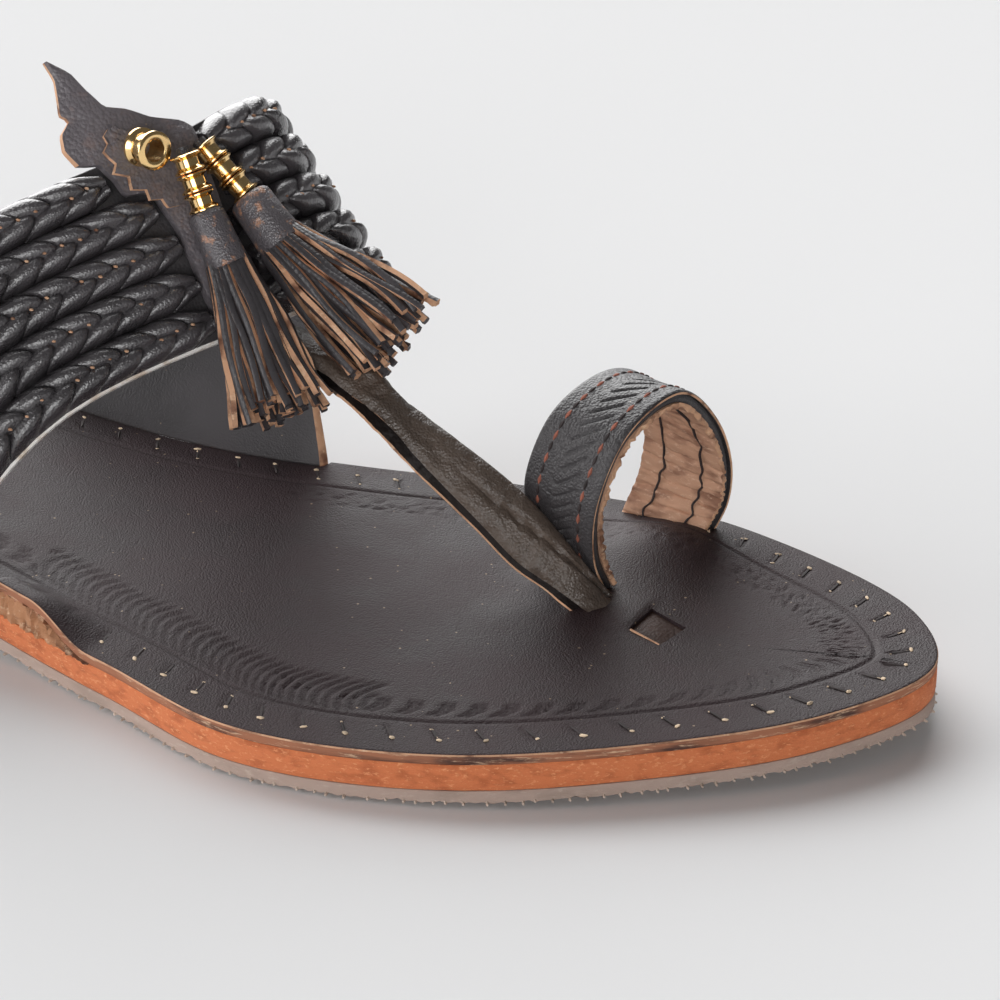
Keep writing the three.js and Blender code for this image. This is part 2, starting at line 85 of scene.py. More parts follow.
# The footbed's rings: first and last inset, and the step between them, which is finer
# where the groove is
RINGS = {"first": 0.6, "last": 22.5, "step": 0.62, "fine_step": 0.28, "fine": (9.0, 11.2)}
# Stamped rows: where in x the arcs lie, where the pitted medial row starts, and the
# distance between marks and the middle inset of the chevrons and of the arcs
STAMPS = {"arcs": (128, 200), "medial": 150, "chevron": (5.6, 14.4), "arc": (2.3, 16.2)}
DOME = {"x": 219, "y": 31, "long": 13, "wide": 12, "height": 3.6}  # under the toe loop
EAR = (129.0, 153.0)  # the stretch in x of the band's raw end

# x, lateral edge, medial edge
OUTLINE = [
    (7, -20.9, 20.8),
    (32, -33.2, 33.1),
    (75, -34.2, 28.0),
    (118, -38.3, 29.3),
    (156, -47.8, 36.6),
    (185, -55.3, 43.7),
    (216, -48.4, 47.0),
    (244, -31.1, 40.4),
    (266, -10.4, 27.3),
]

# The band from its lateral to its medial foot: rear edge, front edge. The feet
# stand on the midsole, so only their x is given.
BAND = [
    ((76, 0, 0), (128, 0, 0)),
    ((92, -43, 43), (125.5, -40.8, 20.8)),
    ((110.2, -27, 63.3), (134.5, -28, 38)),
    ((133, 13.5, 75.2), (152.7, 12, 46)),
    ((134.2, 35, 74.6), (159.5, 36.4, 44)),
    ((125, 45, 49), (145.6, 38.6, 27.2)),
    ((84, 0, 0), (148.5, 0, 0)),
]
WALL = 2.0
PLAIT_FOOT = 0.09
PLAIT_RISE = (0.7, 2.6)  # a plait's height at its sides, and what its middle adds
# The lateral and the medial half of each plait end here, at the crown patch
PLAIT_ENDS = [(0.437, 0.52), (0.4545, 0.519), (0.4575, 0.508), (0.4555, 0.503), (0.453, 0.499)]
PLAITS = len(PLAIT_ENDS)

# The crown patch: v along the foot, then its lateral and medial edge in mm
PATCH_CENTRE = 0.45
PATCH_MM_PER_U = 246
PATCH_ROWS = [
    (-0.555, -2.3, -1.8),
    (-0.46, -2.2, 0.2),
    (-0.36, -3.2, 1.0),
    (-0.29, -4.0, 1.8),
    (-0.25, -3.2, 2.2),
    (-0.2, -5.2, 5.2),
    (-0.12, -6.0, 8.2),
    (-0.03, -5.4, 13.6),
    (0.005, -2.8, 15.4),
    (0.1, -1.9, 15.4),
    (0.19, -1.6, 14.4),
    (0.215, 2.2, 14.1),
    (0.42, 3.0, 12.2),
    (0.62, 2.6, 11.0),
    (0.8, 1.8, 10.2),
    (1.0, 1.6, 9.6),
]

# The toe thong's lateral and medial edge, from the band to the toe slot
THONG_ROWS = [
    ((152.6, 0.8, 45.6), (155.8, 10.0, 46.9)),
    ((163.5, 0.6, 43.6), (167.0, 9.2, 44.9)),
    ((171.6, 0.6, 40.6), (175.6, 7.4, 42.4)),
    ((177.9, 0.8, 37.2), (179.6, 7.6, 38.8)),
    ((187.2, 1.2, 29.4), (189.2, 7.6, 34.2)),
    ((197.3, 2.2, 21.0), (200.4, 8.0, 28.0)),
    ((204.2, 2.8, 15.2), (207.0, 8.4, 22.9)),
    ((210.5, 3.2, 12.2), (213.8, 8.6, 16.3)),
    ((218.6, 3.1, 7.9), (218.4, 12.0, 8.6)),
]

# The toe loop from its near to its far foot: rear edge, front edge
LOOP_ROWS = [
    ((202, 19, 8.6), (216.2, 12.6, 8.6)),
    ((201.2, 14, 18), (215.8, 8.2, 16.5)),
    ((202, 10, 28.5), (217, 6.4, 28)),
    ((205, 13.5, 39.5), (220, 11.6, 39.8)),
    ((208.3, 25, 43.2), (223.6, 23.5, 43.4)),
    ((209.8, 38.5, 37.5), (225.5, 36, 34)),
    ((209.5, 45, 25.6), (226, 42.3, 23)),
    ((208, 46, 16), (225.2, 43.3, 15)),
    ((206, 44.4, 8.6), (223.2, 41, 8.6)),
]
LOOP_STRAP = 1.6
LOOP_LINING = 1.3
LINING_DEPTH = LOOP_STRAP + GLUE + LOOP_LINING  # its inner face, from the strap's outer one
OUTER_SEAMS = (0.21, 0.8)  # across the loop, as shares of its width
INNER_SEAMS = (0.27, 0.74)

# Edge stitches: insets of their outer and inner end, and how far a stitch leans
# along the edge for each mm inwards
STITCH = {"outer": 4.3, "inner": 7.6, "slant": 0.45}

# The zigzag front edge of the crown's top layer: mm from the patch's centre, and v
ZIGZAG = [
    (0.6, -0.14), (-0.5, -0.115), (-0.5, -0.075), (-1.6, -0.045), (-0.9, 0.03), (-1.9, 0.07),
    (-0.2, 0.11), (-0.8, 0.175), (1.1, 0.2), (0.8, 0.255), (2.6, 0.27), (2.8, 0.32), (4.6, 0.33),
]

WINDOW = [(225.6, 2.3), (225.9, 10.5), (233.8, 6.8), (232.5, -0.5)]

RING = {"centre": (134.7, 2.2, 76.3), "axis": (0.9, -0.36, 0.1), "length": 4.6}
TASSELS = {
    "tassel_1": {
        "top": (139.7, 5.5, 75.2),
        "neck": (144.0, 4.7, 66.1),
        "hem": (149.6, 3.0, 57.9),
        "end": (166.5, -8.0, 38.8),
        "cap": (3.0, 3.5),
        "width": 7.4,
        "depth": 3.2,
        "spread": (0.88, 0.46, 0.1),
        "seed": 5,
    },
    "tassel_2": {
        "top": (139.4, 11.7, 74.8),
        "neck": (147.6, 12.4, 67.2),
        "hem": (155.0, 11.8, 60.0),
        "end": (180.0, 7.0, 48.6),
        "cap": (3.6, 4.1),
        "width": 9.2,
        "depth": 3.4,
        "spread": (0.48, 0.59, 0.64),
        "seed": 12,
    },
}

FLOOR_COLOUR = (0.765, 0.765, 0.77, 1)
FLOOR_SIZE = 20.0  # metres from its middle to its edge
ROOM_LIGHT = 0.11
BACKDROP_LIGHT = 0.8  # what the camera sees beyond the floor

# Soft boxes of the studio: heading, cosine of the half angle, power
SOFT_BOXES = [
    ((-0.60, 0.54, 0.50), 0.80, 4.4),
    ((-0.86, -0.45, 0.13), 0.88, 5.2),
    ((0.40, -0.85, 0.15), 0.92, 5.4),
]
SOFT_BOX_FADE = 0.06

CAMERA = {
    "lens": 108,
    "place": (404.596, -392.416, 240.57),
    "azimuth": 27.224,
    "elevation": 25.677,
    "roll": 0.877,
}

# Finished leathers: colour, brightness, grain, roughness, dust, shine, wear and coat.
# The grain is pebbles to a metre, wrinkles between them and their depth in metres, and
# the roughness that of the dull and of the glossy patches.
LEATHERS = {
    "plait_leather": ("plait", 1.0, (2300.0, 1.4, 0.0001), (0.36, 0.24), 0.12, 1.0, 0.0, 0.35),
    "strap_leather": ("strap", 1.0, (2200.0, 0.8, 0.00014), (0.46, 0.36), 0.2),
    "smooth_leather": ("strap", 1.0, (1900.0, 0.3, 0.00008), (0.6, 0.48), 0.25),
    # The crown's leather is the plait leather made 2.6 times brighter: painted light where the
    # crown faces up into the top light.
    "crown_leather": ("plait", 2.6, (1500.0, 1.0, 0.00016), (0.46, 0.36), 0.25, 0.6, 0.15),
    "insole_leather": ("insole", 1.0, (3000.0, 0.3, 0.00011), (0.58, 0.5), 0.3, 0.17),
    "thong_leather": ("thong", 1.0, (2100.0, 2.6, 0.00011), (0.44, 0.32), 0.12, 0.6),
    "fringe_leather": ("plait", 0.8, (1500.0, 0.6, 0.00008), (0.45, 0.34), 0.2),
    "cap_leather": ("plait", 1.9, (2600.0, 1.2, 0.00012), (0.42, 0.28), 0.6, 0.8, 1.6),
    # Near-black leather for the faces inside the thong's fold: painted shade of the gap's depth.
    "thong_inside": ((0.016, 0.011, 0.010), 1.0, (1300.0, 1.0, 0.0001), (0.7, 0.6), 0.1, 0.3),
    "inner_leather": ((0.042, 0.037, 0.040), 1.0, (2600.0, 0.4, 0.00006), (0.58, 0.46), 0.3),
    "window_leather": ((0.058, 0.028, 0.02), 1.0, (1700.0, 0.3, 0.0001), (0.7, 0.6), 0.2, 0.3),
}

# Cut edges, flesh sides and rubber: colour, streaks, fibres, their scale and stretch
# along z, and where they differ from the rest, roughness and depth in metres
PALE_FIBRES = (0.72, 0.50, 0.33)
DARK_STREAKS = (0.14, 0.055, 0.03)
CUT_LEATHERS = {
    "midsole_edge": ("midsole", (0.54, 0.14, 0.048), (0.90, 0.42, 0.20), 950.0, 2.2, 0.8, 0.0004),
    "insole_edge": ("insole_edge", (0.06, 0.025, 0.018), PALE_FIBRES, 260.0, 7),
    "cut_leather": ("cut", DARK_STREAKS, PALE_FIBRES, 700.0, 1),
    "pale_edge": ((0.93, 0.90, 0.86), (0.66, 0.55, 0.45), (0.96, 0.94, 0.9), 900.0, 1),
    "flesh_leather": ((0.46, 0.22, 0.11), DARK_STREAKS, PALE_FIBRES, 420.0, 2, 0.9, 0.0006),
    "lining_leather": ("lining", (0.27, 0.135, 0.085), (0.68, 0.46, 0.33), 520.0, 2.5),
    "rubber": ("rubber", (0.36, 0.27, 0.225), (0.5, 0.40, 0.34), 420.0, 3),
    "rubber_burr": ((0.50, 0.40, 0.33), (0.34, 0.27, 0.22), (0.6, 0.5, 0.42), 900.0, 1),
}
DUST_COLOUR = (0.3, 0.22, 0.15)
WORN_COLOUR = (0.42, 0.22, 0.14)
# Near-black: dark thread on the toe loop, and painted shade in the insole's stitch slits.
DARK_THREAD_AND_SLIT_SHADE = (0.03, 0.02, 0.02)


# ------------------------------------------------------------- properties
def length(name, description, default):
    return FloatProperty(name=name, description=description, default=default, unit="LENGTH")


def colour(name, default):
    description = f"Colour of the {name.lower()}"
    return FloatVectorProperty(
        name=name, description=description, default=default, subtype="COLOR", min=0, max=1
    )


class SandalSizes(bpy.types.PropertyGroup):
    """Sizes of the fine work on the sandal."""

    leaf_pitch: length("Leaf pitch", "Distance between the leaves of a plait", 0.0063)
    stitch_pitch: length("Stitch pitch", "Distance between stitches on the insole", 0.0076)
    groove_inset: length("Groove inset", "From the sole's edge to the incised groove", 0.0100)
    groove_depth: length("Groove depth", "Depth of the incised groove", 0.00032)
    stamp_depth: length("Stamp depth", "Depth of the stamped marks", 0.00045)
    chevron_pitch: length("Chevron pitch", "Distance between chevrons on the toe loop", 0.0025)
    loop_stitch: length("Loop stitch", "Length of one stitch on the toe loop", 0.0021)
    fringe_strip: length("Fringe strip", "Width of a strip of the fringe", 0.0011)
    tread_pitch: length("Tread pitch", "Distance between teeth along the rubber", 0.0016)
    fringe_strips: IntProperty(
        name="Fringe strips", description="Strips in each tassel", default=69, min=8, max=90
    )


class SandalColours(bpy.types.PropertyGroup):
    """Colours of the leathers, the rubber and the brass."""

    plait: colour("Plaited leather", (0.056, 0.050, 0.054))
    strap: colour("Loop and crown leather", (0.044, 0.040, 0.042))
    insole: colour("Insole leather", (0.034, 0.0215, 0.0235))
    thong: colour("Thong leather", (0.088, 0.064, 0.050))
    midsole: colour("Midsole edge", (0.70, 0.205, 0.075))
    insole_edge: colour("Insole edge", (0.34, 0.135, 0.070))
    cut: colour("Cut leather", (0.60, 0.34, 0.205))
    lining: colour("Loop lining", (0.52, 0.30, 0.195))
    rubber: colour("Rubber", (0.43, 0.32, 0.27))
    brass: colour("Brass", (1.0, 0.69, 0.32))
    red_thread: colour("Red thread", (0.34, 0.11, 0.07))
    pale_thread: colour("Pale thread", (0.78, 0.60, 0.42))


def sizes():
    return bpy.context.scene.sandal_sizes


def colours():
    return bpy.context.scene.sandal_colours


def mm(metres):
    return metres * 1000


# --------------------------------------------------------- curves and forms
def mix(a, b, t):
    return a + (b - a) * t


def ease(value, start, stop):
    """0 before start and 1 after stop, with a soft turn at both."""
    t = max(0.0, min(1.0, (value - start) / (stop - start)))
    return t * t * (3 - 2 * t)


def between(value, start, full, fade, stop):
    """1 from full to fade, and 0 before start and after stop."""
    return ease(value, start, full) * (1 - ease(value, fade, stop))


def arch(t):
    """Rises from 0 at t = 0 to 1 half way, and falls back to 0 at t = 1."""
    return math.sin(math.pi * t)


def bell(value, centre, width):
    return math.exp(-(((value - centre) / width) ** 2))


class SmoothLine:
    """A smooth line through points, with t from 0 to 1 over its stretches."""

    def __init__(self, points, closed=False):
        points = [Vector(p) for p in points]
        count = len(points)
        self.stretches = []
        for i in range(count if closed else count - 1):
            b, c = points[i], points[(i + 1) % count]
            a = points[i - 1] if closed or i > 0 else b * 2 - c
            d = points[(i + 2) % count] if closed or i + 2 < count else c * 2 - b
            self.stretches.append(self.stretch(a, b, c, d))

    @staticmethod
    def stretch(a, b, c, d):
        """The cubic from b to c, as four coefficients."""
        before, here, after = [math.sqrt((q - p).length) for p, q in ((a, b), (b, c), (c, d))]
        leave = (b - a) / before - (c - a) / (before + here) + (c - b) / here
        arrive = (c - b) / here - (d - b) / (here + after) + (d - c) / after
        leave, arrive = leave * here, arrive * here
        return b, leave, (c - b) * 3 - leave * 2 - arrive, (b - c) * 2 + leave + arrive

    def at(self, t):
        place_on = max(0.0, min(1.0, t)) * len(self.stretches)
        i = min(int(place_on), len(self.stretches) - 1)
        w = place_on - i
        a, b, c, d = self.stretches[i]
        return a + (b + (c + d * w) * w) * w

    def heading(self, t):
        step = 1e-3
        return (self.at(t + step) - self.at(t - step)).normalized()


def flat_line(rows):
    """The sole's outline as one closed line from the heel over the lateral side."""
    lateral = [(x, y, 0) for x, y, _ in rows]
    medial = [(x, y, 0) for x, _, y in reversed(rows)]
    return SmoothLine([(0, HEEL_Y, 0)] + lateral + [(SOLE_LENGTH, TOE_Y, 0)] + medial, True)


def side_table(line, start, stop):
    """The outline's x and y at many places of one side, sorted by x."""
    samples = 240
    points = [line.at(mix(start, stop, i / samples)) for i in range(samples + 1)]
    return [p.x for p in points], [p.y for p in points]


OUTLINE_LINE = flat_line(OUTLINE)
EDGES = {
    "lateral": side_table(OUTLINE_LINE, 0.0, 0.5),
    "medial": side_table(OUTLINE_LINE, 1.0, 0.5),
}


def edge_y(side, x):
    xs, ys = EDGES[side]
    i = max(1, min(len(xs) - 1, bisect_left(xs, x)))
    t = (x - xs[i - 1]) / (xs[i] - xs[i - 1])
    return mix(ys[i - 1], ys[i], max(0.0, min(1.0, t)))


def shift_to_frame():
    """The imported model's origin, found from where its outsole lies."""
    low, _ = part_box("outsole")
    return Vector((mm(low.x), mm(low.y) - min(EDGES["lateral"][1]), 0))


SHIFT = shift_to_frame()


def place(point):
    return (Vector(point) + SHIFT) / 1000


def clearance(x):
    """How far the underside of the sole stands off the ground."""
    spring = max(0, (x - TOE_SPRING["start"]) / TOE_SPRING["run"])
    rise = ease(HEEL_RISE["none"] - x, 0, HEEL_RISE["none"] - HEEL_RISE["full"])
    return TOE_SPRING["lift"] * spring**2 + HEEL_RISE["lift"] * rise


def foot_span(side):
    """Where in x the band's foot starts and stops."""
    rear, front = BAND[0] if side == "lateral" else BAND[-1]
    return rear[0], front[0]


def band_edge(which):
    points = [row[which] for row in BAND]
    for i, side in ((0, "lateral"), (-1, "medial")):
        x = foot_span(side)[which]
        points[i] = (x, edge_y(side, x), clearance(x) + MIDSOLE_TOP + GLUE)
    return SmoothLine(points)


BAND_REAR = band_edge(0)
BAND_FRONT = band_edge(1)


def band(u, v):
    """The band's outer face: u over the arch, v from its rear to its front."""
    point = mix(BAND_REAR.at(u), BAND_FRONT.at(u), v)
    foot_share = 1 - ease(min(u, 1 - u), 0, 1 / (len(BAND) - 1))
    if foot_share > 0:
        side = "lateral" if u < 0.5 else "medial"
        rear_x, front_x = foot_span(side)
        straight = mix(edge_y(side, rear_x), edge_y(side, front_x), v)
        point.y += foot_share * (edge_y(side, mix(rear_x, front_x, v)) - straight)
    return point


def on_band(u, v, height):
    step = 0.004
    over = band(min(1, u + step), v) - band(max(0, u - step), v)
    along = BAND_FRONT.at(u) - BAND_REAR.at(u)
    return band(u, v) + along.cross(over).normalized() * height


class Strap:
    """A strap's outer face between two edge lines, with its depth inwards."""

    def __init__(self, rows):
        self.rear = SmoothLine([row[0] for row in rows])
        self.front = SmoothLine([row[1] for row in rows])

    def at(self, s, t, depth):
        over = mix(self.rear.heading(s), self.front.heading(s), t)
        across = self.front.at(s) - self.rear.at(s)
        return mix(self.rear.at(s), self.front.at(s), t) + over.cross(across).normalized() * depth


class Reach:
    """Distance in millimetres along a line of points, and back to its share."""

    def __init__(self, line, start=0.0, stop=1.0, samples=160):
        self.shares = [mix(start, stop, i / samples) for i in range(samples + 1)]
        points = [line(share) for share in self.shares]
        self.distances = [0.0]
        for a, b in zip(points, points[1:]):
            self.distances.append(self.distances[-1] + (b - a).length)
        self.total = self.distances[-1]

    def share(self, distance):
        i = max(1, min(len(self.shares) - 1, bisect_left(self.distances, distance)))
        span = self.distances[i] - self.distances[i - 1]
        t = (distance - self.distances[i - 1]) / span
        return mix(self.shares[i - 1], self.shares[i], t)


# ------------------------------------------------------------ mesh helpers
def faces_of(verts):
    return {face for vert in verts for face in vert.link_faces}


def paint_faces(verts, material):
    for face in faces_of(verts):
        face.material_index = material


def around(points):
    """Each point with the one after it, and the last with the first."""
    return zip(points, points[1:] + points[:1])


def left_of(heading):
    return Vector((-heading.y, heading.x))


def laid_grid(bm, columns, rows, lay, paint=None):
    """A grid of faces with each corner where lay(s, t) says, s and t from 0 to 1."""
    made = bmesh.ops.create_grid(bm, x_segments=columns, y_segments=rows, size=0.5)["verts"]
    uv_layer = bm.loops.layers.uv.verify()
    for face in faces_of(made):
        centre = face.calc_center_median()
        if paint:
            face.material_index = paint(centre.x + 0.5, centre.y + 0.5)
        for loop in face.loops:
            loop[uv_layer].uv = (loop.vert.co.x + 0.5, loop.vert.co.y + 0.5)
    for vert in made:
        vert.co = place(lay(vert.co.x + 0.5, vert.co.y + 0.5))
    return made


def laid_tube(bm, steps, section, lay, paint=None):
    """A closed bar: section is a ring of points, and lay(s, *point) puts them."""
    count = len(section)

    def corner(s, t):
        return lay(s, *section[round(t * count) % count])

    made = laid_grid(bm, steps, count, corner, paint)
    bmesh.ops.remove_doubles(bm, verts=made, dist=2e-7)
    made = [v for v in made if v.is_valid]
    rims = [e for e in {e for v in made for e in v.link_edges} if e.is_boundary]
    bmesh.ops.holes_fill(bm, edges=rims, sides=count + 2)
    return made


def new_object(name, bm):
    mesh = bpy.data.meshes.new(name)
    bm.to_mesh(mesh)
    bm.free()
    made = bpy.data.objects.new(name, mesh)
    bpy.context.scene.collection.objects.link(made)
    return made


def finished(name, bm, materials, slot, replaces="", sharp=40):
    """Makes the mesh a piece of the sandal, softly shaded but for edges over sharp
    degrees. The materials are named in the order of their index."""
    bmesh.ops.recalc_face_normals(bm, faces=bm.faces)
    for face in bm.faces:
        face.smooth = True
    for edge in bm.edges:
        edge.smooth = edge.calc_face_angle(0) < math.radians(sharp)
    piece = new_object(name, bm)
    for material in materials.split():
        piece.data.materials.append(MATERIALS[material])
    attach(piece, "root")
    if replaces:
        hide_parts(replaces)


def tube_piece(name, steps, section, lay, paint, *finish):
    """A piece of the sandal that is one closed bar."""
    bm = bmesh.new()
    laid_tube(bm, steps, section, lay, paint)
    finished(name, bm, *finish)


def level(count, height):
    """Points of a section across from 0 to 1, at one height."""
    return [(i / count, height) for i in range(count + 1)]


def rounded_slab(count, low, high, corner):
    """A ring for a flat bar: across from 0 to 1 on top, and back underneath."""
    top = [(corner, high), *level(count, high)[1:-1], (1 - corner, high)]
    bottom = [(1 - corner, low), (0.5, low), (corner, low)]
    middle = (low + high) / 2
    return top + [(1, middle)] + bottom + [(0, middle)]


def painted_sides(section, sides):
    """Gives the second material to these sides of a section."""
    return lambda s, t: int(int(t * len(section)) in sides)


def grain(point, scale):
    return noise.noise(Vector(point) * scale)


# --------------------------------------------------------------- materials
def new_group(name, inputs, outputs):
    """A node group that takes a Vector and the inputs, and gives the outputs."""
    tree = bpy.data.node_groups.new(name, "ShaderNodeTree")
    tree.interface.new_socket("Vector", in_out="INPUT", socket_type="NodeSocketVector")
    for label, default in inputs.items():
        kind = "NodeSocketFloat" if isinstance(default, float) else "NodeSocketVector"
        socket = tree.interface.new_socket(label, in_out="INPUT", socket_type=kind)
        socket.default_value = default
    for label in outputs:
        tree.interface.new_socket(label, in_out="OUTPUT", socket_type="NodeSocketFloat")
    given = tree.nodes.new("NodeGroupInput").outputs
    sockets = [given[i] for i in range(len(inputs) + 1)]
    return tree, sockets, tree.nodes.new("NodeGroupOutput").inputs


def node(tree, kind, inputs=(), **settings):
    """A shader node with its settings; inputs maps sockets to values or sockets."""
    made = tree.nodes.new("ShaderNode" + kind)
    for key, value in settings.items():
        setattr(made, key, value)
    for key, value in dict(inputs).items():
        if isinstance(value, bpy.types.NodeSocket):
            tree.links.new(value, made.inputs[key])
        else:
            made.inputs[key].default_value = value
    return made


def maths(tree, operation, a, b=0.0, clamp=False):
    made = node(tree, "Math", {0: a, 1: b}, operation=operation, use_clamp=clamp)
    return made.outputs[0]


def blend_colour(tree, share, a, b):
    return node(tree, "Mix", {0: share, 6: a, 7: b}, data_type="RGBA").outputs[2]


def noise_of(tree, vector, scale, detail, rough=0.5):
    inputs = {"Vector": vector, "Scale": scale, "Detail": detail, "Roughness": rough}
    return node(tree, "TexNoise", inputs).outputs[0]


def band_of(tree, value, low, high):
    """0 below low, 1 above high."""
    inputs = {0: value, 1: low, 2: high}
    return node(tree, "MapRange", inputs, interpolation_type="SMOOTHSTEP").outputs[0]


def grain_group():
    """Pebbled leather grain with fine wrinkles between the pebbles."""
    tree, given, gives = new_group(
        "leather grain", {"Pebble": 900.0, "Wrinkle": 0.5}, ("Height", "Tone")
    )
    vector, pebble, wrinkle = given
    cells = node(tree, "TexVoronoi", {"Vector": vector, "Scale": pebble})
    folds = noise_of(tree, vector, maths(tree, "MULTIPLY", pebble, 0.16), 5.0, 0.6)
    domes = maths(tree, "SUBTRACT", 1.0, cells.outputs["Distance"])
    lines = maths(tree, "MULTIPLY", folds, wrinkle)
    height = maths(tree, "ADD", domes, maths(tree, "MULTIPLY", lines, 2.0))
    tree.links.new(height, gives[0])
    tree.links.new(band_of(tree, noise_of(tree, vector, 60.0, 3.0), 0.35, 0.65), gives[1])
    return tree


def fibre_group():
    """Streaks and fibres of a cut leather edge, stretched along the sole."""
    tree, given, gives = new_group(
        "leather fibres",
        {"Scale": 300.0, "Stretch": (1.0, 1.0, 6.0)},
        ("Height", "Dark streaks", "Pale fibres"),
    )
    vector, scale, stretch = given
    drawn = node(tree, "VectorMath", {0: vector, 1: stretch}, operation="MULTIPLY").outputs[0]
    fine = noise_of(tree, drawn, scale, 6.0, 0.7)
    broad = noise_of(tree, drawn, maths(tree, "MULTIPLY", scale, 0.3), 4.0)
    tree.links.new(fine, gives[0])
    tree.links.new(band_of(tree, broad, 0.47, 0.7), gives[1])
    tree.links.new(band_of(tree, fine, 0.53, 0.68), gives[2])
    return tree


def dust_group():
    """Pale specks of dust and polish, of many sizes and far apart."""
    tree, given, gives = new_group("dust specks", {"Scale": 1100.0, "Amount": 0.3}, ["Specks"])
    vector, scale, amount = given
    dots = node(tree, "TexVoronoi", {"Vector": vector, "Scale": scale})
    chosen = node(tree, "SeparateColor", {0: dots.outputs["Color"]})
    size = maths(tree, "MULTIPLY", amount, chosen.outputs[0])
    rare = maths(tree, "GREATER_THAN", chosen.outputs[1], 0.93)
    reach = maths(tree, "SUBTRACT", size, dots.outputs["Distance"])
    mask = maths(tree, "MULTIPLY", band_of(tree, reach, 0.0, 0.12), rare)
    tree.links.new(mask, gives[0])
    return tree


GROUPS = {}
MATERIALS = {}


def use_group(tree, key, **inputs):
    """Places one of the shared effects in a material, on Object coordinates."""
    coordinates = node(tree, "TexCoord").outputs["Object"]
    return node(tree, "Group", {"Vector": coordinates, **inputs}, node_tree=GROUPS[key])


def principled(name, **constants):
    """A material with its Principled shader, and constants on its own sockets."""
    material = bpy.data.materials.new(name)
    material.use_nodes = True
    shader = material.node_tree.nodes["Principled BSDF"]
    for label, value in constants.items():
        shader.inputs[label.replace("_", " ")].default_value = value
    MATERIALS[name] = material
    return material.node_tree, shader


def skinned(tree, shader, colour_socket, height, depth, tone=None, rough=()):
    """Links a colour and a bump to the shader, and roughness where it varies."""
    tree.links.new(colour_socket, shader.inputs["Base Color"])
    if tone:
        dull, glossy = rough
        shine = node(tree, "MapRange", {0: tone, 3: glossy, 4: dull})
        tree.links.new(shine.outputs[0], shader.inputs["Roughness"])
    relief = node(tree, "Bump", {"Height": height, "Distance": depth, "Strength": 1.0})
    tree.links.new(relief.outputs[0], shader.inputs["Normal"])


def rgba(value, factor=1.0):
    """A colour for a shader, from a tuple or from the name of one of the properties."""
    if isinstance(value, str):
        value = getattr(colours(), value)
    return (value[0] * factor, value[1] * factor, value[2] * factor, 1.0)


def leather(name, base, bright, grained, rough, specks, shine=0.5, wear=0.0, coat=0.0):
    """Finished leather: dyed, pebbled, duller in patches and lightly dusty."""
    tree, shader = principled(
        name, Specular_IOR_Level=shine, Coat_Weight=coat, Coat_Roughness=0.22, Coat_IOR=1.6
    )
    pebble, wrinkle, depth = grained
    skin = use_group(tree, "grain", Pebble=pebble, Wrinkle=wrinkle).outputs
    specked = use_group(tree, "dust", Amount=specks).outputs[0]
    worn = blend_colour(tree, skin["Tone"], rgba(base, 0.82 * bright), rgba(base, 1.2 * bright))
    dusty = blend_colour(tree, specked, worn, rgba(DUST_COLOUR))
    if wear:
        rubbed = use_group(tree, "fibres", Scale=330.0, Stretch=(1.0, 1.0, 1.0))
        bare = maths(tree, "MULTIPLY", rubbed.outputs["Pale fibres"], wear, True)
        dusty = blend_colour(tree, bare, dusty, rgba(WORN_COLOUR))
    skinned(tree, shader, dusty, skin["Height"], depth, skin["Tone"], rough)


def cut_leather(name, base, dark, pale, scale, stretch, rough=0.8, depth=0.0002):
    """A cut edge or a flesh side: streaked, fibrous and matt."""
    tree, shader = principled(name, Roughness=rough)
    fibres = use_group(tree, "fibres", Scale=scale, Stretch=(1, 1, stretch)).outputs
    streaked = blend_colour(tree, fibres["Dark streaks"], rgba(base), rgba(dark))
    shown = maths(tree, "MULTIPLY", fibres["Pale fibres"], 0.75)
    skinned(tree, shader, blend_colour(tree, shown, streaked, rgba(pale)), fibres["Height"], depth)


def brass_material():
    tree, shader = principled("brass", Metallic=1.0)
    skin = use_group(tree, "grain", Pebble=500.0, Wrinkle=0.8).outputs
    worn = blend_colour(tree, skin["Tone"], rgba("brass"), rgba("brass", 0.82))
    skinned(tree, shader, worn, skin["Height"], 0.00001, skin["Tone"], (0.24, 0.12))


def thread_material(name, base):
    tree, shader = principled(name, Roughness=0.75)
    fibres = use_group(tree, "fibres", Scale=900.0, Stretch=(1.0, 1.0, 1.0)).outputs
    twist = blend_colour(tree, fibres["Dark streaks"], rgba(base), rgba(base, 0.45))
    skinned(tree, shader, twist, fibres["Height"], 0.0001)


class SANDAL_OT_materials(bpy.types.Operator):
    """Make the leathers, threads, rubber and brass."""

    bl_idname = "sandal.materials"
    bl_label = "Materials"

    def execute(self, context):
        GROUPS.update(grain=grain_group(), fibres=fibre_group(), dust=dust_group())
        for name, values in LEATHERS.items():
            leather(name, *values)
        for name, values in CUT_LEATHERS.items():
            cut_leather(name, *values)
        thread_material("red_thread", "red_thread")
        # Near-black: dark thread on the toe loop, and painted shade in the insole's stitch slits.
        thread_material("dark_thread", DARK_THREAD_AND_SLIT_SHADE)
        thread_material("pale_thread", "pale_thread")
        brass_material()
        return {"FINISHED"}


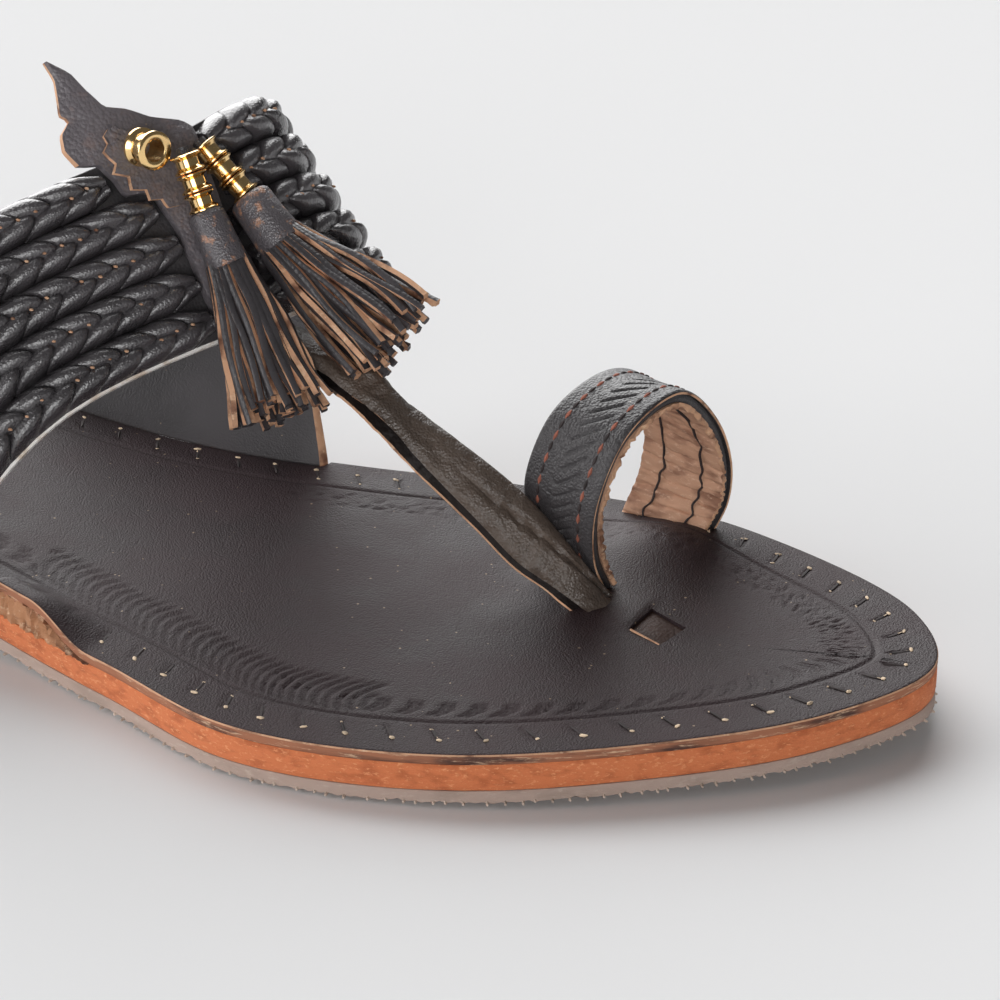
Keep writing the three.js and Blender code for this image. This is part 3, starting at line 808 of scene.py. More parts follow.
# ---------------------------------------------------------------- the sole
class Rim:
    """The sole's edge as a ring of points with inward headings."""

    def __init__(self, stations):
        self.count = 2 * stations
        self.points = []
        for i in range(self.count):
            side = "lateral" if i <= stations else "medial"
            k = i if i <= stations else self.count - i
            x = SOLE_LENGTH * (1 - math.cos(math.pi * k / stations)) / 2
            y = edge_y(side, x)
            if k in (0, stations):
                y = HEEL_Y if k == 0 else TOE_Y
            self.points.append(Vector((x, y)))
        self.inward = []
        self.distance = [0.0]
        for i, point in enumerate(self.points):
            before, after = self.points[i - 1], self.points[(i + 1) % self.count]
            heading = (after - before).normalized()
            self.inward.append(left_of(heading))
            self.distance.append(self.distance[-1] + (after - point).length)
        self.spine = []
        for point in self.points:
            x = max(SPINE[0], min(SPINE[1], point.x))
            self.spine.append(Vector((x, (edge_y("lateral", x) + edge_y("medial", x)) / 2)))

    def at(self, i, inset, share=0.0):
        """A point at an inset from the edge; past DEEP the rings draw in to the spine."""
        i %= self.count
        near = self.points[i] + self.inward[i] * min(inset, DEEP)
        inner = self.spine[i] - near
        if inset > DEEP:
            near += inner * min(0.85, (inset - DEEP) / max(inner.length, 1.0))
        return mix(near, self.spine[i], share)


def rim_loft(bm, rim, profile, lift=None):
    """A layer of the sole: each profile row is inset, share to the spine, height."""
    rows = len(profile) - 1

    def corner(s, t):
        i, row = round(s * rim.count), round(t * rows)
        inset, share, height = profile[row]
        flat = rim.at(i, inset, share)
        if lift:
            height += lift(i % rim.count, row)
        return (flat.x, flat.y, clearance(flat.x) + height)

    made = laid_grid(bm, rim.count, rows, corner)
    bmesh.ops.remove_doubles(bm, verts=made, dist=WELD)


class SANDAL_OT_outsole(bpy.types.Operator):
    """Make the rubber sheet with its fine teeth, and the heel lift."""

    bl_idname = "sandal.outsole"
    bl_label = "Outsole"

    def execute(self, context):
        rim = Rim(RIM_STATIONS["outsole"])
        random.seed(3)
        pitch = mm(sizes().tread_pitch)
        burr = [random.random() ** 5 for _ in range(rim.count)]
        profile = [
            (0, 1, 0.15), (1.2, 0, 0.15), (0.5, 0, 0.05), (-0.1, 0, 0.35), (-0.05, 0, 0.9),
            (0, 0, 2.1), (0.25, 0, 2.45), (0.9, 0, RUBBER), (0, 1, RUBBER),
        ]
        toothed_rows = {2: 1.0, 3: 0.9, 4: 0.3}

        def teeth(i, row):
            tooth = (rim.distance[i] / pitch) % 1
            return (0.42 * tooth + 0.5 * burr[i]) * toothed_rows.get(row, 0)

        bm = bmesh.new()
        rim_loft(bm, rim, profile, teeth)
        self.burrs(bm, rim)
        finished("outsole_rubber", bm, "rubber rubber_burr", "rubber", "outsole")
        self.heel()
        return {"FINISHED"}

    def burrs(self, bm, rim):
        """Small torn nubs of rubber that stick out along the lower edge."""
        along = 0.0
        while along < rim.distance[-1]:
            along += random.uniform(1.9, 3.4)
            i = bisect_left(rim.distance, along) % rim.count
            long = random.uniform(0.25, 0.62)
            made = bmesh.ops.create_cone(
                bm, cap_ends=True, segments=6, radius1=0.42, radius2=0.22, depth=2 * long
            )["verts"]
            paint_faces(made, 1)
            root = rim.points[i]
            for vert in made:
                spot = root - rim.inward[i] * vert.co.z + Vector((vert.co.x, 0))
                height = max(0.05, 0.7 + vert.co.y - 0.4 * max(0, vert.co.z))
                vert.co = place((spot.x, spot.y, clearance(root.x) + height))

    def heel(self):
        """The lift under the heel, with a straight breast at its front."""
        section = [(0, 0), (0, 0.5), (0, 1), (0.5, 1), (1, 1), (1, 0.5), (1, 0), (0.5, 0)]

        def lay(s, across, up):
            x = HEEL_BREAST * (1 - math.cos(math.pi / 2 * s))
            y = mix(edge_y("lateral", x), edge_y("medial", x), across)
            return (x, y, up * (clearance(x) - GLUE))

        tube_piece("heel_lift_rubber", 60, section, lay, None, "rubber", "rubber", "heel_lift")


class SANDAL_OT_midsole(bpy.types.Operator):
    """Make the thick tan layer with its burnished, slightly uneven edge."""

    bl_idname = "sandal.midsole"
    bl_label = "Midsole"

    def execute(self, context):
        low, high = MIDSOLE_BOTTOM - 0.25, MIDSOLE_TOP + 0.25
        profile = [
            (0, 1, low), (1.0, 0, low), (0.3, 0, low), (0, 0, low + 0.5),
            (-0.05, 0, mix(low, high, 0.35)), (-0.05, 0, mix(low, high, 0.6)),
            (0, 0, high - 0.6), (0.3, 0, high - 0.1), (1.2, 0, high), (0, 1, high),
        ]
        bm = bmesh.new()
        rim_loft(bm, Rim(RIM_STATIONS["midsole"]), profile)
        for vert in bm.verts:
            vert.co += Vector((0, 0.00012, 0)) * grain(vert.co, 240)
        finished("midsole_leather_layer", bm, "midsole_edge", "midsole_leather", "midsole")
        return {"FINISHED"}


def wall_inset(x, side):
    """How far the insole keeps in from the edge to leave room for the band."""
    rear, front = foot_span(side)
    return 2.35 * between(x, rear - 1.5, rear - 0.3, front + 0.3, front + 1.5)


class SANDAL_OT_insole(bpy.types.Operator):
    """Make the footbed with its groove, its stamped rows and its stitch slits."""

    bl_idname = "sandal.insole"
    bl_label = "Insole"

    def execute(self, context):
        self.rim = Rim(RIM_STATIONS["insole"])
        low, top = INSOLE_BOTTOM - 0.2, INSOLE_TOP
        self.profile = [
            (0.3, 1, low), (0.6, 0, low), (0.15, 0, low + 0.15), (0, 0, low + 0.7),
            (0, 0, top - 0.35), (0.12, 0, top - 0.1), (0.3, 0, top - 0.02),
        ]
        rings = self.insets()
        self.profile += [(inset, 0, top) for inset in rings]
        shares = (0.06, 0.12, 0.2, 0.3, 0.42, 0.55, 0.7, 0.85, 1.0)
        self.profile += [(rings[-1], share, top) for share in shares]
        bm = bmesh.new()
        made = laid_grid(bm, self.rim.count, len(self.profile) - 1, self.corner, self.paint)
        bmesh.ops.remove_doubles(bm, verts=made, dist=WELD)
        self.cut_window(bm)
        materials = "insole_leather insole_edge cut_leather"
        finished("insole_footbed", bm, materials, "insole_leather", "insole", 60)
        self.window_floor()
        return {"FINISHED"}

    def insets(self):
        """Rings from the edge inwards, closest together where the marks are."""
        rings = [RINGS["first"]]
        low, high = RINGS["fine"]
        while rings[-1] < RINGS["last"]:
            fine = low < rings[-1] < high
            rings.append(rings[-1] + RINGS["fine_step" if fine else "step"])
        return rings

    def paint(self, s, t):
        row = t * (len(self.profile) - 1)
        if row > 5:
            return 0
        return 2 if row > 4 else 1

    def corner(self, s, t):
        i = round(s * self.rim.count) % self.rim.count
        inset, share, height = self.profile[round(t * (len(self.profile) - 1))]
        side = "lateral" if i <= self.rim.count / 2 else "medial"
        edge = self.rim.points[i]
        flat = self.rim.at(i, inset + wall_inset(edge.x, side) * (1 - ease(inset, 3, 9)), share)
        if inset >= 0.3 and height > INSOLE_BOTTOM and share < 1:
            height += self.marks(i, inset if share == 0 else 99, side, flat)
        if height > INSOLE_BOTTOM + 1:
            height += toe_dome(flat)
        if share == 0 and height > INSOLE_BOTTOM - 0.1:
            height += ear_height(edge.x, side) * (1 - ease(inset, 1.0, 11.0))
        return (flat.x, flat.y, clearance(flat.x) + height)

    def marks(self, i, inset, side, flat):
        """How deep the groove, the stamps and the slits press the leather."""
        size = sizes()
        depth = -mm(size.groove_depth) * bell(inset, mm(size.groove_inset), 0.38)
        along = self.rim.distance[i]
        depth -= mm(size.stamp_depth) * stamped(along, inset, side, flat.x)
        pitch = mm(size.stitch_pitch)
        slanted = along + STITCH["slant"] * (inset - STITCH["outer"])
        slit = 0.3 * bell(abs((slanted / pitch) % 1 - 0.5) * pitch, 0, 0.42)
        return depth - slit * between(inset, 3.4, 4.4, 7.6, 8.6)

    def cut_window(self, bm):
        """Opens the small window in front of the thong."""
        corners = [Vector(place((x, y, 0))).to_2d() for x, y in WINDOW]
        for a, b in around(corners):
            normal = Vector((b.y - a.y, a.x - b.x, 0))
            near = [f for f in bm.faces if (f.calc_center_median().to_2d() - a).length < 0.016]
            cut = list(dict.fromkeys(part for f in near for part in (f, *f.edges, *f.verts)))
            plane = {"plane_co": a.to_3d(), "plane_no": normal}
            bmesh.ops.bisect_plane(bm, geom=cut, dist=1e-7, **plane)
        centre = sum(corners, Vector((0, 0))) / 4
        low = place((0, 0, INSOLE_TOP - 0.5)).z
        inside = []
        for face in bm.faces:
            point = face.calc_center_median()
            flat = point.to_2d()
            turns = [(b - a).cross(flat - a) for a, b in around(corners)]
            close = (flat - centre).length <= 0.01 and point.z >= low
            if close and (max(turns) < 0 or min(turns) > 0):
                inside.append(face)
        made = bmesh.ops.extrude_face_region(bm, geom=inside)
        bmesh.ops.delete(bm, geom=inside, context="FACES")
        floor = [g for g in made["geom"] if isinstance(g, bmesh.types.BMFace)]
        for vert in {v for f in floor for v in f.verts}:
            vert.co.z -= 0.0009

    def window_floor(self):
        """The strap end that shows through the window."""
        height = clearance(sum(x for x, _ in WINDOW) / len(WINDOW)) + INSOLE_TOP
        a, b, c, d = [Vector((*p, 0)) for p in WINDOW]

        def lay(s, t):
            point = mix(mix(a, b, t), mix(d, c, t), s)
            crown = 0.45 * arch(s) * arch(t)
            return (point.x, point.y, height - 0.55 + crown)

        bm = bmesh.new()
        laid_grid(bm, 12, 12, lay)
        bmesh.ops.solidify(bm, geom=bm.faces[:], thickness=0.0003)

        def sliver(s, across, up):
            point = mix(a, d, mix(0.05, 0.97, s))
            return (point.x, point.y - 0.1 + across * 0.16, height + 0.04 + up * 0.12)

        laid_tube(bm, 12, [(-1, -1), (-1, 1), (1, 1), (1, -1)], sliver, lambda s, t: 1)
        finished("window_strap_end", bm, "window_leather cut_leather", "thong_leather")


def ear_height(x, side):
    """How far the band's lateral ear lifts the edge of the insole."""
    return 4.6 * between(x, 128.5, 131, 139, 152.5) if side == "lateral" else 0.0


def toe_dome(flat):
    """The footbed swells over the toe loop's ends and over the thong's end."""
    along, across = (flat.x - DOME["x"]) / DOME["long"], (flat.y - DOME["y"]) / DOME["wide"]
    strap_end = between(flat.x, 212, 216, 224.5, 226.5) * between(flat.y, 1, 3, 10.5, 12.5)
    return DOME["height"] * math.exp(-1.3 * (along**2 + across**2)) + 0.5 * strap_end


def stamped(along, inset, side, x):
    """1 in the middle of a stamped mark, 0 between the marks."""
    if side == "medial":
        if x < STAMPS["medial"]:
            return 0.0
        pitted = noise.noise(Vector((along * 0.8, inset * 0.8, 3.0)))
        return 1.1 * max(0, pitted) * between(inset, 11.4, 12.4, 17.5, 19)
    if STAMPS["arcs"][0] < x < STAMPS["arcs"][1]:
        return arc_mark(along, inset)
    pitch, middle = STAMPS["chevron"]
    phase = (along / pitch) % 1 * pitch - pitch / 2
    arm = abs(inset - middle)
    line = bell(phase + 0.55 * arm, 0.6, 0.42) + bell(phase + 0.55 * arm, -0.9, 0.42)
    return line * (1 - ease(arm, 2.0, 2.8)) * mix(1.0, 0.45, ease(x, 225, 245))


def arc_mark(along, inset):
    """Wide nested arcs, stamped one behind the other."""
    pitch, middle = STAMPS["arc"]
    arm = inset - middle
    bow = along - 0.09 * arm * arm
    line = 0.5 + 0.5 * math.cos(2 * math.pi * bow / pitch)
    return line**2 * (1 - ease(abs(arm), 4.2, 6.0))


class SANDAL_OT_stitches(bpy.types.Operator):
    """Sew the insole down: a pale bead at the edge, and in each slit a near-black bead as painted
    shade of the slit.
    """

    bl_idname = "sandal.stitches"
    bl_label = "Edge stitches"

    def execute(self, context):
        rim = Rim(RIM_STATIONS["insole"])
        random.seed(8)
        pitch = mm(sizes().stitch_pitch)
        bm = bmesh.new()
        for k in range(int(rim.distance[-1] / pitch)):
            self.stitch(bm, rim, bisect_left(rim.distance, (k + 0.5) * pitch))
        finished("edge_stitches", bm, "pale_thread dark_thread", "raw_leather")
        return {"FINISHED"}

    def stitch(self, bm, rim, i):
        outer, inner = rim.at(i, STITCH["outer"]), rim.at(i, STITCH["inner"])
        lean = STITCH["slant"] * (STITCH["inner"] - STITCH["outer"])
        inner += left_of((inner - outer).normalized()) * lean
        heading = (inner - outer).normalized()
        turned = (left_of(heading) + heading * random.uniform(-0.4, 1.6)).normalized()
        # The long near-black bead lies along the slit as painted shade of its depth.
        bead(bm, mix(outer, inner, 0.5), heading, 2.3, random.uniform(0.2, 0.32), -0.04, 1)
        bead(bm, outer, turned, random.uniform(0.4, 0.85), random.uniform(0.28, 0.42), 0.02)
        if random.random() < 0.6:
            bead(bm, outer + heading * 0.9, heading, random.uniform(0.4, 0.9), 0.13, -0.02)
        if random.random() < 0.6:
            bead(bm, inner, turned, random.uniform(0.2, 0.5), 0.2, -0.05)
            bead(bm, inner - heading * 0.6, heading, random.uniform(0.3, 0.6), 0.12, -0.02)


def bead(bm, flat, heading, long, wide, lift, material=0):
    """A small, slightly flattened bead lying on the footbed: of pale thread, and with material 1 a
    near-black bead that paints a slit's shade.
    """
    made = bmesh.ops.create_icosphere(bm, subdivisions=1, radius=1.0)["verts"]
    paint_faces(made, material)
    top = clearance(flat.x) + INSOLE_TOP + toe_dome(flat) + lift
    for vert in made:
        spot = flat + heading * (vert.co.x * long) + left_of(heading) * (vert.co.y * wide)
        rough = 1 + 0.7 * grain(vert.co + Vector((flat.x, flat.y, 0)), 2.0)
        vert.co = place((spot.x, spot.y, top + vert.co.z * wide * 0.6 * rough))


# ----------------------------------------------------------------- the band
class SANDAL_OT_band(bpy.types.Operator):
    """Make the leather wall that arches over the instep."""

    bl_idname = "sandal.band"
    bl_label = "Instep band"

    def execute(self, context):
        across = 14
        section = level(across, 0.0) + [(1.015, -0.3), (1.02, -1.0), (1.012, -1.7)]
        section += [(1 - v, height) for v, height in level(across, -WALL)]
        section += [(-0.004, height) for height in (-1.65, -1.0, -0.35)]
        count = len(section)

        def paint(s, t):
            k = int(t * count)
            if not across <= k <= across + 3:
                return 3 if across + 3 < k < 2 * across + 4 else 0
            return 2 if s > 0.6 else 1

        materials = "smooth_leather pale_edge cut_leather inner_leather"
        tube_piece("band_wall", 150, section, on_band, paint, materials, "black_leather", "upper")
        self.ear()
        return {"FINISHED"}

    def ear(self):
        """The raw end of the band's foot, glued between insole and midsole."""
        section = [(0, up / 4) for up in range(5)]
        section += [(0.35, 1), (0.7, 1), (1, 1), (1, 0), (0.5, 0)]

        def lay(s, inwards, up):
            x = mix(*EAR, s)
            edge = edge_y("lateral", x)
            layers = 0.9 * grain((x * 0.8, up * 5, 0), 1.0) + 0.5 * grain((x, up * 9, 4), 2.2)
            out = layers + 0.35 * arch(up) if inwards == 0 else 0
            height = max(0.05, ear_height(max(x, 131), "lateral") + 0.2) * (1 - 0.75 * inwards)
            return (x, edge - out + inwards * 7, clearance(x) + MIDSOLE_TOP + 0.25 + up * height)

        tube_piece("band_ear", 60, section, lay, None, "flesh_leather", "raw_leather")


class SANDAL_OT_plaits(bpy.types.Operator):
    """Plait each half of the five plaits, as two rows of slanting leaves."""

    bl_idname = "sandal.plaits"
    bl_label = "Plaits"

    def execute(self, context):
        for index in range(PLAITS):
            lateral, medial = PLAIT_ENDS[index]
            self.plait(f"plait_lateral_{index + 1}", index, PLAIT_FOOT, lateral, 1)
            self.plait(f"plait_medial_{index + 1}", index, 1 - PLAIT_FOOT, medial, -1)
        return {"FINISHED"}

    def plait(self, node_name, index, foot, centre, turn):
        middle = (index + 0.5) / PLAITS
        reach = Reach(lambda u: band(u, middle), foot, centre)
        pitch = mm(sizes().leaf_pitch)
        random.seed(40 + index + (turn < 0) * 10)
        start = random.uniform(0, 1)
        bm = bmesh.new()
        self.core(bm, reach, middle)
        for row in (-1, 1):
            for k in range(-1, int(reach.total / pitch) + 1):
                at = (k + start + (0.5 if row > 0 else 0)) * pitch
                self.leaf(bm, reach, middle, at, row, pitch)
        self.tips(bm, reach, middle, pitch, start)
        materials = "plait_leather cut_leather"
        finished(node_name + "_strands", bm, materials, "black_leather", node_name, 75)

    @staticmethod
    def draw_in(reach, distance):
        """A plait narrows and flattens towards both of its ends."""
        pull = mix(0.6, 1.0, ease(reach.total - distance, -0.5, 5))
        return pull * mix(0.8, 1.0, ease(distance, 0, 6))

    def spot(self, reach, middle, distance, sideways, height):
        """A place on a plait: along it, to one side, and above the band."""
        distance = max(0.0, min(reach.total, distance))
        u = reach.share(distance)
        span = (BAND_FRONT.at(u) - BAND_REAR.at(u)).length
        pull = self.draw_in(reach, distance)
        half = span / PLAITS / 2 + 0.08
        low, rise = PLAIT_RISE
        crown = low + rise * (1 - min(1.0, abs(sideways)) ** 3.4)
        top = (crown + height) * mix(0.35, 1.0, pull)
        return on_band(u, middle + sideways * half * pull / span, max(0.1, top))

    def core(self, bm, reach, middle):
        section = [(-0.9, -9.0)] + [(side, -0.9) for side in (-0.8, -0.4, 0.0, 0.4, 0.8)]
        section += [(0.9, -9.0), (0.0, -9.0)]

        def lay(s, side, up):
            return self.spot(reach, middle, s * reach.total, side, up)

        laid_tube(bm, 40, section, lay)

    def leaf(self, bm, reach, middle, at, row, pitch):
        """One visible stretch of a strand, from the plait's side to its middle."""
        puff = random.uniform(0.85, 1.15)
        tilt = random.uniform(-0.35, 0.35)
        section = [
            (-0.54, -1.4), (-0.52, -0.7), (-0.44, -0.1), (-0.3, 0.3), (-0.1, 0.56), (0.12, 0.66),
            (0.3, 0.56), (0.43, 0.25), (0.51, -0.3), (0.53, -1.4),
        ]

        def lay(s, across, up):
            inwards = mix(-0.06, 1.16, s)
            inside = max(0.0, inwards)
            curve = 1 - (1 - min(1.0, inside)) ** 1.5
            distance = at + (across + 0.42 * curve + 0.12 * inwards) * pitch + tilt
            dive = 0.95 * ease(inwards, 0.84, 1.16) + 1.5 * ease(-inwards, -0.16, 0.06)
            height = up * puff - dive + 0.8 * across + 0.3 * arch(min(1, inside))
            return self.spot(reach, middle, distance, row * (1 - inside), max(-1.4, height))

        laid_tube(bm, 9, section, lay)

    def tips(self, bm, reach, middle, pitch, start):
        """Small raw specks where the strands tuck under each other."""
        for k in range(1, int(2 * reach.total / pitch)):
            if random.random() < 0.3:
                continue
            distance = (k / 2 + start + 0.1) * pitch
            if distance > reach.total - 3:
                break
            centre = self.spot(reach, middle, distance, random.uniform(-0.12, 0.12), 0.5)
            made = bmesh.ops.create_icosphere(bm, subdivisions=1, radius=0.33)["verts"]
            paint_faces(made, 1)
            for vert in made:
                vert.co = place(centre + Vector((vert.co.x * 1.5, vert.co.y, vert.co.z * 0.8)))


def patch_edge(column, v):
    for a, b in zip(PATCH_ROWS, PATCH_ROWS[1:]):
        if v <= b[0] + 1e-9:
            return mix(a[column], b[column], (v - a[0]) / (b[0] - a[0]))
    return PATCH_ROWS[-1][column]


def on_patch(millimetres, v, height):
    return on_band(PATCH_CENTRE + millimetres / PATCH_MM_PER_U, v, height)


class SANDAL_OT_crown(bpy.types.Operator):
    """Make the crown patch with its raw rear edge."""

    bl_idname = "sandal.crown"
    bl_label = "Crown patch"

    def execute(self, context):
        across = 12
        section = rounded_slab(across, 0.5, 2.2, 0.02)
        first, last = PATCH_ROWS[0][0], PATCH_ROWS[-1][0]

        def lay(s, side, height):
            v = mix(first, last, s**0.8)
            near, far = patch_edge(1, v), patch_edge(2, v)
            dome = 0.4 * arch(side) if height > 1 else 0
            if height < 1.3:
                height += 0.9 * (1 - ease(v, -0.05, 0.05))
            across_mm = mix(near, far, side)
            dome += 1.4 * bell(across_mm, 11.6, 3.6) * bell(v, 0.02, 0.1) * (height > 1)
            dome += 0.25 * grain((across_mm, v * 40, 0), 0.5) * ease(v, -0.2, 0.0)
            return on_patch(across_mm, v, height + dome)

        def paint(s, t):
            k = int(t * len(section))
            return 1 if k >= len(section) - 2 and mix(first, last, s**0.8) < -0.04 else 0

        # The crown's leather is brightened as painted light from above.
        finish = ("crown_leather cut_leather", "black_leather", "crown_patch")
        tube_piece("crown_patch_leather", 90, section, lay, paint, *finish)
        self.top_layer()
        return {"FINISHED"}

    def top_layer(self):
        """The thin layer over the patch, cut in a raw zigzag."""
        across = 14
        section = rounded_slab(across, 2.45, 3.2, 0.03)
        last = len(ZIGZAG) - 1

        def lay(s, side, height):
            i = min(last - 1, int(s * last))
            part = s * last - i
            near = mix(ZIGZAG[i][0], ZIGZAG[i + 1][0], part)
            v = mix(ZIGZAG[i][1], ZIGZAG[i + 1][1], part)
            far = mix(2.0, 10.5, ease(s, 0.0, 0.5))
            wrinkle = 0.35 * grain((near + side * 9, v * 40, 0), 0.55)
            return on_patch(mix(near, far, side), v, height + wrinkle)

        paint = painted_sides(section, (len(section) - 2, len(section) - 1))
        # The top layer shares the crown's brightened leather, painted light from above.
        finish = ("crown_leather cut_leather", "black_leather")
        tube_piece("crown_top_layer", last * 4, section, lay, paint, *finish)


# ------------------------------------------------------ thong and toe loop
class SANDAL_OT_thong(bpy.types.Operator):
    """Make the folded thong, open along its lateral edge."""

    bl_idname = "sandal.thong"
    bl_label = "Toe thong"

    def execute(self, context):
        strap = Strap(THONG_ROWS)
        near, far = strap.rear, strap.front
        # across from the open edge to the fold, height in mm, opening share
        top = [(mix(0.14, 0.98, i / 13), i / 13) for i in range(14)]
        section = [(0.14, 0.45, 1), (0.10, 0.9, 1)]
        for across, t in top:
            crown = 2.2 * (1 - abs((across - 0.54) / 0.5) ** 3)
            section.append((across, crown, 1 - ease(t, 0, 0.4)))
        section += [
            (1.0, 0.1, 0), (0.98, -0.6, 0), (0.85, -1.3, 0), (0.55, -1.5, 0), (0.25, -1.45, 0),
            (0.02, -1.3, -1), (-0.03, -0.9, -1), (0.0, -0.5, -1), (0.3, -0.6, -0.8),
            (0.6, -0.5, -0.3), (0.72, 0.1, 0), (0.6, 0.6, 0.3), (0.3, 0.5, 0.8),
        ]
        lower_lip = len(section) - 8

        def lay(s, across, height, opening):
            a, b = near.at(s), far.at(s)
            side = b - a
            along = near.heading(s) + far.heading(s)
            up = side.cross(along).normalized()
            if up.z < 0:
                up.negate()
            gape = ease(s, 0.25, 0.5) * (1 - 0.7 * ease(s, 0.75, 1.0))
            crease = 0.3 * grain((s * 26, across * 2, height), 1.0)
            crease += 0.22 * grain((s * 60, across * 5, height), 1.0)
            if height > 1 and across > 0.2:
                fold = mix(0.5, 0.84, ease(s, 0.5, 1.0))
                crease -= 0.9 * bell(across, fold, 0.05) * ease(s, 0.5, 0.65)
            twist = 0.9 * math.sin(9 * s + 5 * across) * (1 - ease(s, 0.22, 0.45))
            flatter = mix(1.0, 0.6, ease(s, 0.78, 1.0))
            lift = (height + opening * 0.6 * gape) * flatter + crease + twist * 0.6
            point = a + side * across + up * lift
            point.z = max(point.z, clearance(point.x) + MIDSOLE_TOP)
            return point

        def paint(s, t):
            k = int(t * len(section))
            # The faces inside the fold's gap take the third, near-black leather: painted shade of
            # the gap's depth.
            if k > lower_lip + 1:
                return 2
            return 1 if k in (0, lower_lip, lower_lip + 1) and s > 0.25 else 0

        finish = ("thong_leather cut_leather thong_inside", "thong_leather", "toe_thong")
        tube_piece("thong_strip", 150, section, lay, paint, *finish)
        return {"FINISHED"}


class SANDAL_OT_toe_loop(bpy.types.Operator):
    """Make the stamped strap, its middle layer, its lining and its stitching."""

    bl_idname = "sandal.toe_loop"
    bl_label = "Toe loop"

    def execute(self, context):
        self.face = Strap(LOOP_ROWS)
        self.reach = Reach(lambda s: self.face.at(s, 0.5, 0))
        self.strap()
        self.middle()
        self.lining()
        self.stitching()
        return {"FINISHED"}

    def on(self, s, t, depth):
        point = self.face.at(s, t, depth)
        point.z = max(point.z, clearance(point.x) + INSOLE_TOP + 0.05)
        return point

    def strap(self):
        across = 44
        section = level(across, 0.0)
        section += [(1.0, 0.3), (0.995, 0.7), (0.5, 0.75), (0.005, 0.7), (0.0, 0.3)]

        def lay(s, t, depth):
            if depth == 0.0:
                rounded = 0.3 * (bell(t, 0, 0.02) + bell(t, 1, 0.02))
                depth = self.stamp(s * self.reach.total, t) + rounded
            return self.on(s, t, depth)

        paint = painted_sides(section, (across, across + 1, across + 4))
        finish = ("strap_leather cut_leather", "black_leather", "toe_loop", 70)
        tube_piece("toe_loop_strap", 560, section, lay, paint, *finish)

    def stamp(self, along, t):
        """Chevrons with a long and a faint short arm, pressed into the strap."""
        pitch = mm(sizes().chevron_pitch)
        if not 0.27 < t < 0.74:
            return 0.0
        arm = abs(t - 0.43) * 15
        place_in = ((along - arm * 0.73) / pitch) % 1 - 0.5
        fade = between(t, 0.27, 0.34, 0.67, 0.74) * mix(0.3, 1, ease(t, 0.4, 0.45))
        return 0.42 * bell(place_in, 0, 0.11) * fade

    def middle(self):
        """The black layer that shows as a dark line between strap and lining."""
        section = rounded_slab(6, 0.8, 2.15, 0.02)

        def lay(s, t, depth):
            return self.on(s, 0.02 + 0.955 * t, depth)

        finish = ("smooth_leather", "black_leather")
        tube_piece("toe_loop_middle", 160, section, lay, None, *finish)

    def lining(self):
        across = 24
        outer, inner = LOOP_STRAP + 2 * GLUE, LINING_DEPTH
        middle = mix(outer, inner, 0.5)
        section = level(across, inner)
        section += [(1.01, middle), (1.0, outer), (0.5, outer), (0.0, outer), (-0.01, middle)]

        def lay(s, t, depth):
            along = s * self.reach.total
            ragged = 0.035 * grain((along, 0, 0), 0.9) + 0.02 * grain((along, 5, 0), 2.3)
            folds = abs(math.sin(along * 0.72 + 0.8 * grain((along, t * 4, 0), 0.4)))
            crease = 0.55 * (1 - folds) ** 3
            seam = 0.4 * sum(bell(t, row, 0.02) for row in INNER_SEAMS)
            if depth == inner:
                depth += 0.4 * grain((along, t * 16, 1), 0.6) - crease - seam
            return self.on(s, mix(0.01, 0.985 + ragged, t), depth)

        paint = painted_sides(section, (across, across + 1))
        finish = ("lining_leather cut_leather", "raw_leather", "toe_loop_lining", 70)
        tube_piece("toe_loop_suede", 260, section, lay, paint, *finish)

    def stitching(self):
        """Two rows of thread, seen outside as short stitches and inside as a line."""
        pitch = mm(sizes().loop_stitch)
        turns = [math.radians(60 * k) for k in range(6)]
        ring = [(math.cos(turn), math.sin(turn)) for turn in turns]
        outside, inside = bmesh.new(), bmesh.new()
        for t in OUTER_SEAMS:
            for k in range(1, int(self.reach.total / pitch)):
                lay = self.arc(k * pitch, pitch * 0.92, t)
                laid_tube(outside, 6, ring, lay, lambda s, u, k=k: k % 2)
        for t in INNER_SEAMS:
            laid_tube(inside, 150, ring, self.wavy(t))
        finished("toe_loop_stitches", outside, "red_thread dark_thread", "raw_leather")
        finished("toe_loop_inner_seams", inside, "dark_thread", "raw_leather")

    def arc(self, start, run, t):
        """A stitch that rises out of the strap and dips back into it."""

        def lay(s, across, up):
            swell = arch(mix(0.08, 0.92, s))
            share = self.reach.share(start + run * s)
            depth = 0.32 - 0.3 * swell - up * 0.3
            return self.on(share, t + across * 0.38 * swell / 16, depth)

        return lay

    def wavy(self, t):
        """A line of thread that wanders along the lining."""

        def lay(s, across, up):
            along = s * self.reach.total
            sway = 0.012 * math.sin(along * 1.1) + 0.05 * grain((along, t * 9, 0), 0.35)
            return self.on(s, t + sway + across * 0.014, LINING_DEPTH - 0.1 + up * 0.25)

        return lay


# ------------------------------------------------------- brass and tassels
def spin_profile(bm, profile, start, along, sides):
    """Turns a closed profile of (radius, distance) round a line from start."""
    begin = place(start)
    axis = Vector(along).normalized()
    side = axis.orthogonal().normalized()
    verts = [bm.verts.new(begin + side * (r / 1000) + axis * (d / 1000)) for r, d in profile]
    edges = [bm.edges.new(pair) for pair in around(verts)]
    turn = {"cent": begin, "axis": axis, "angle": 2 * math.pi, "steps": sides}
    bmesh.ops.spin(bm, geom=verts + edges, use_merge=True, **turn)
    bmesh.ops.remove_doubles(bm, verts=bm.verts, dist=1e-7)


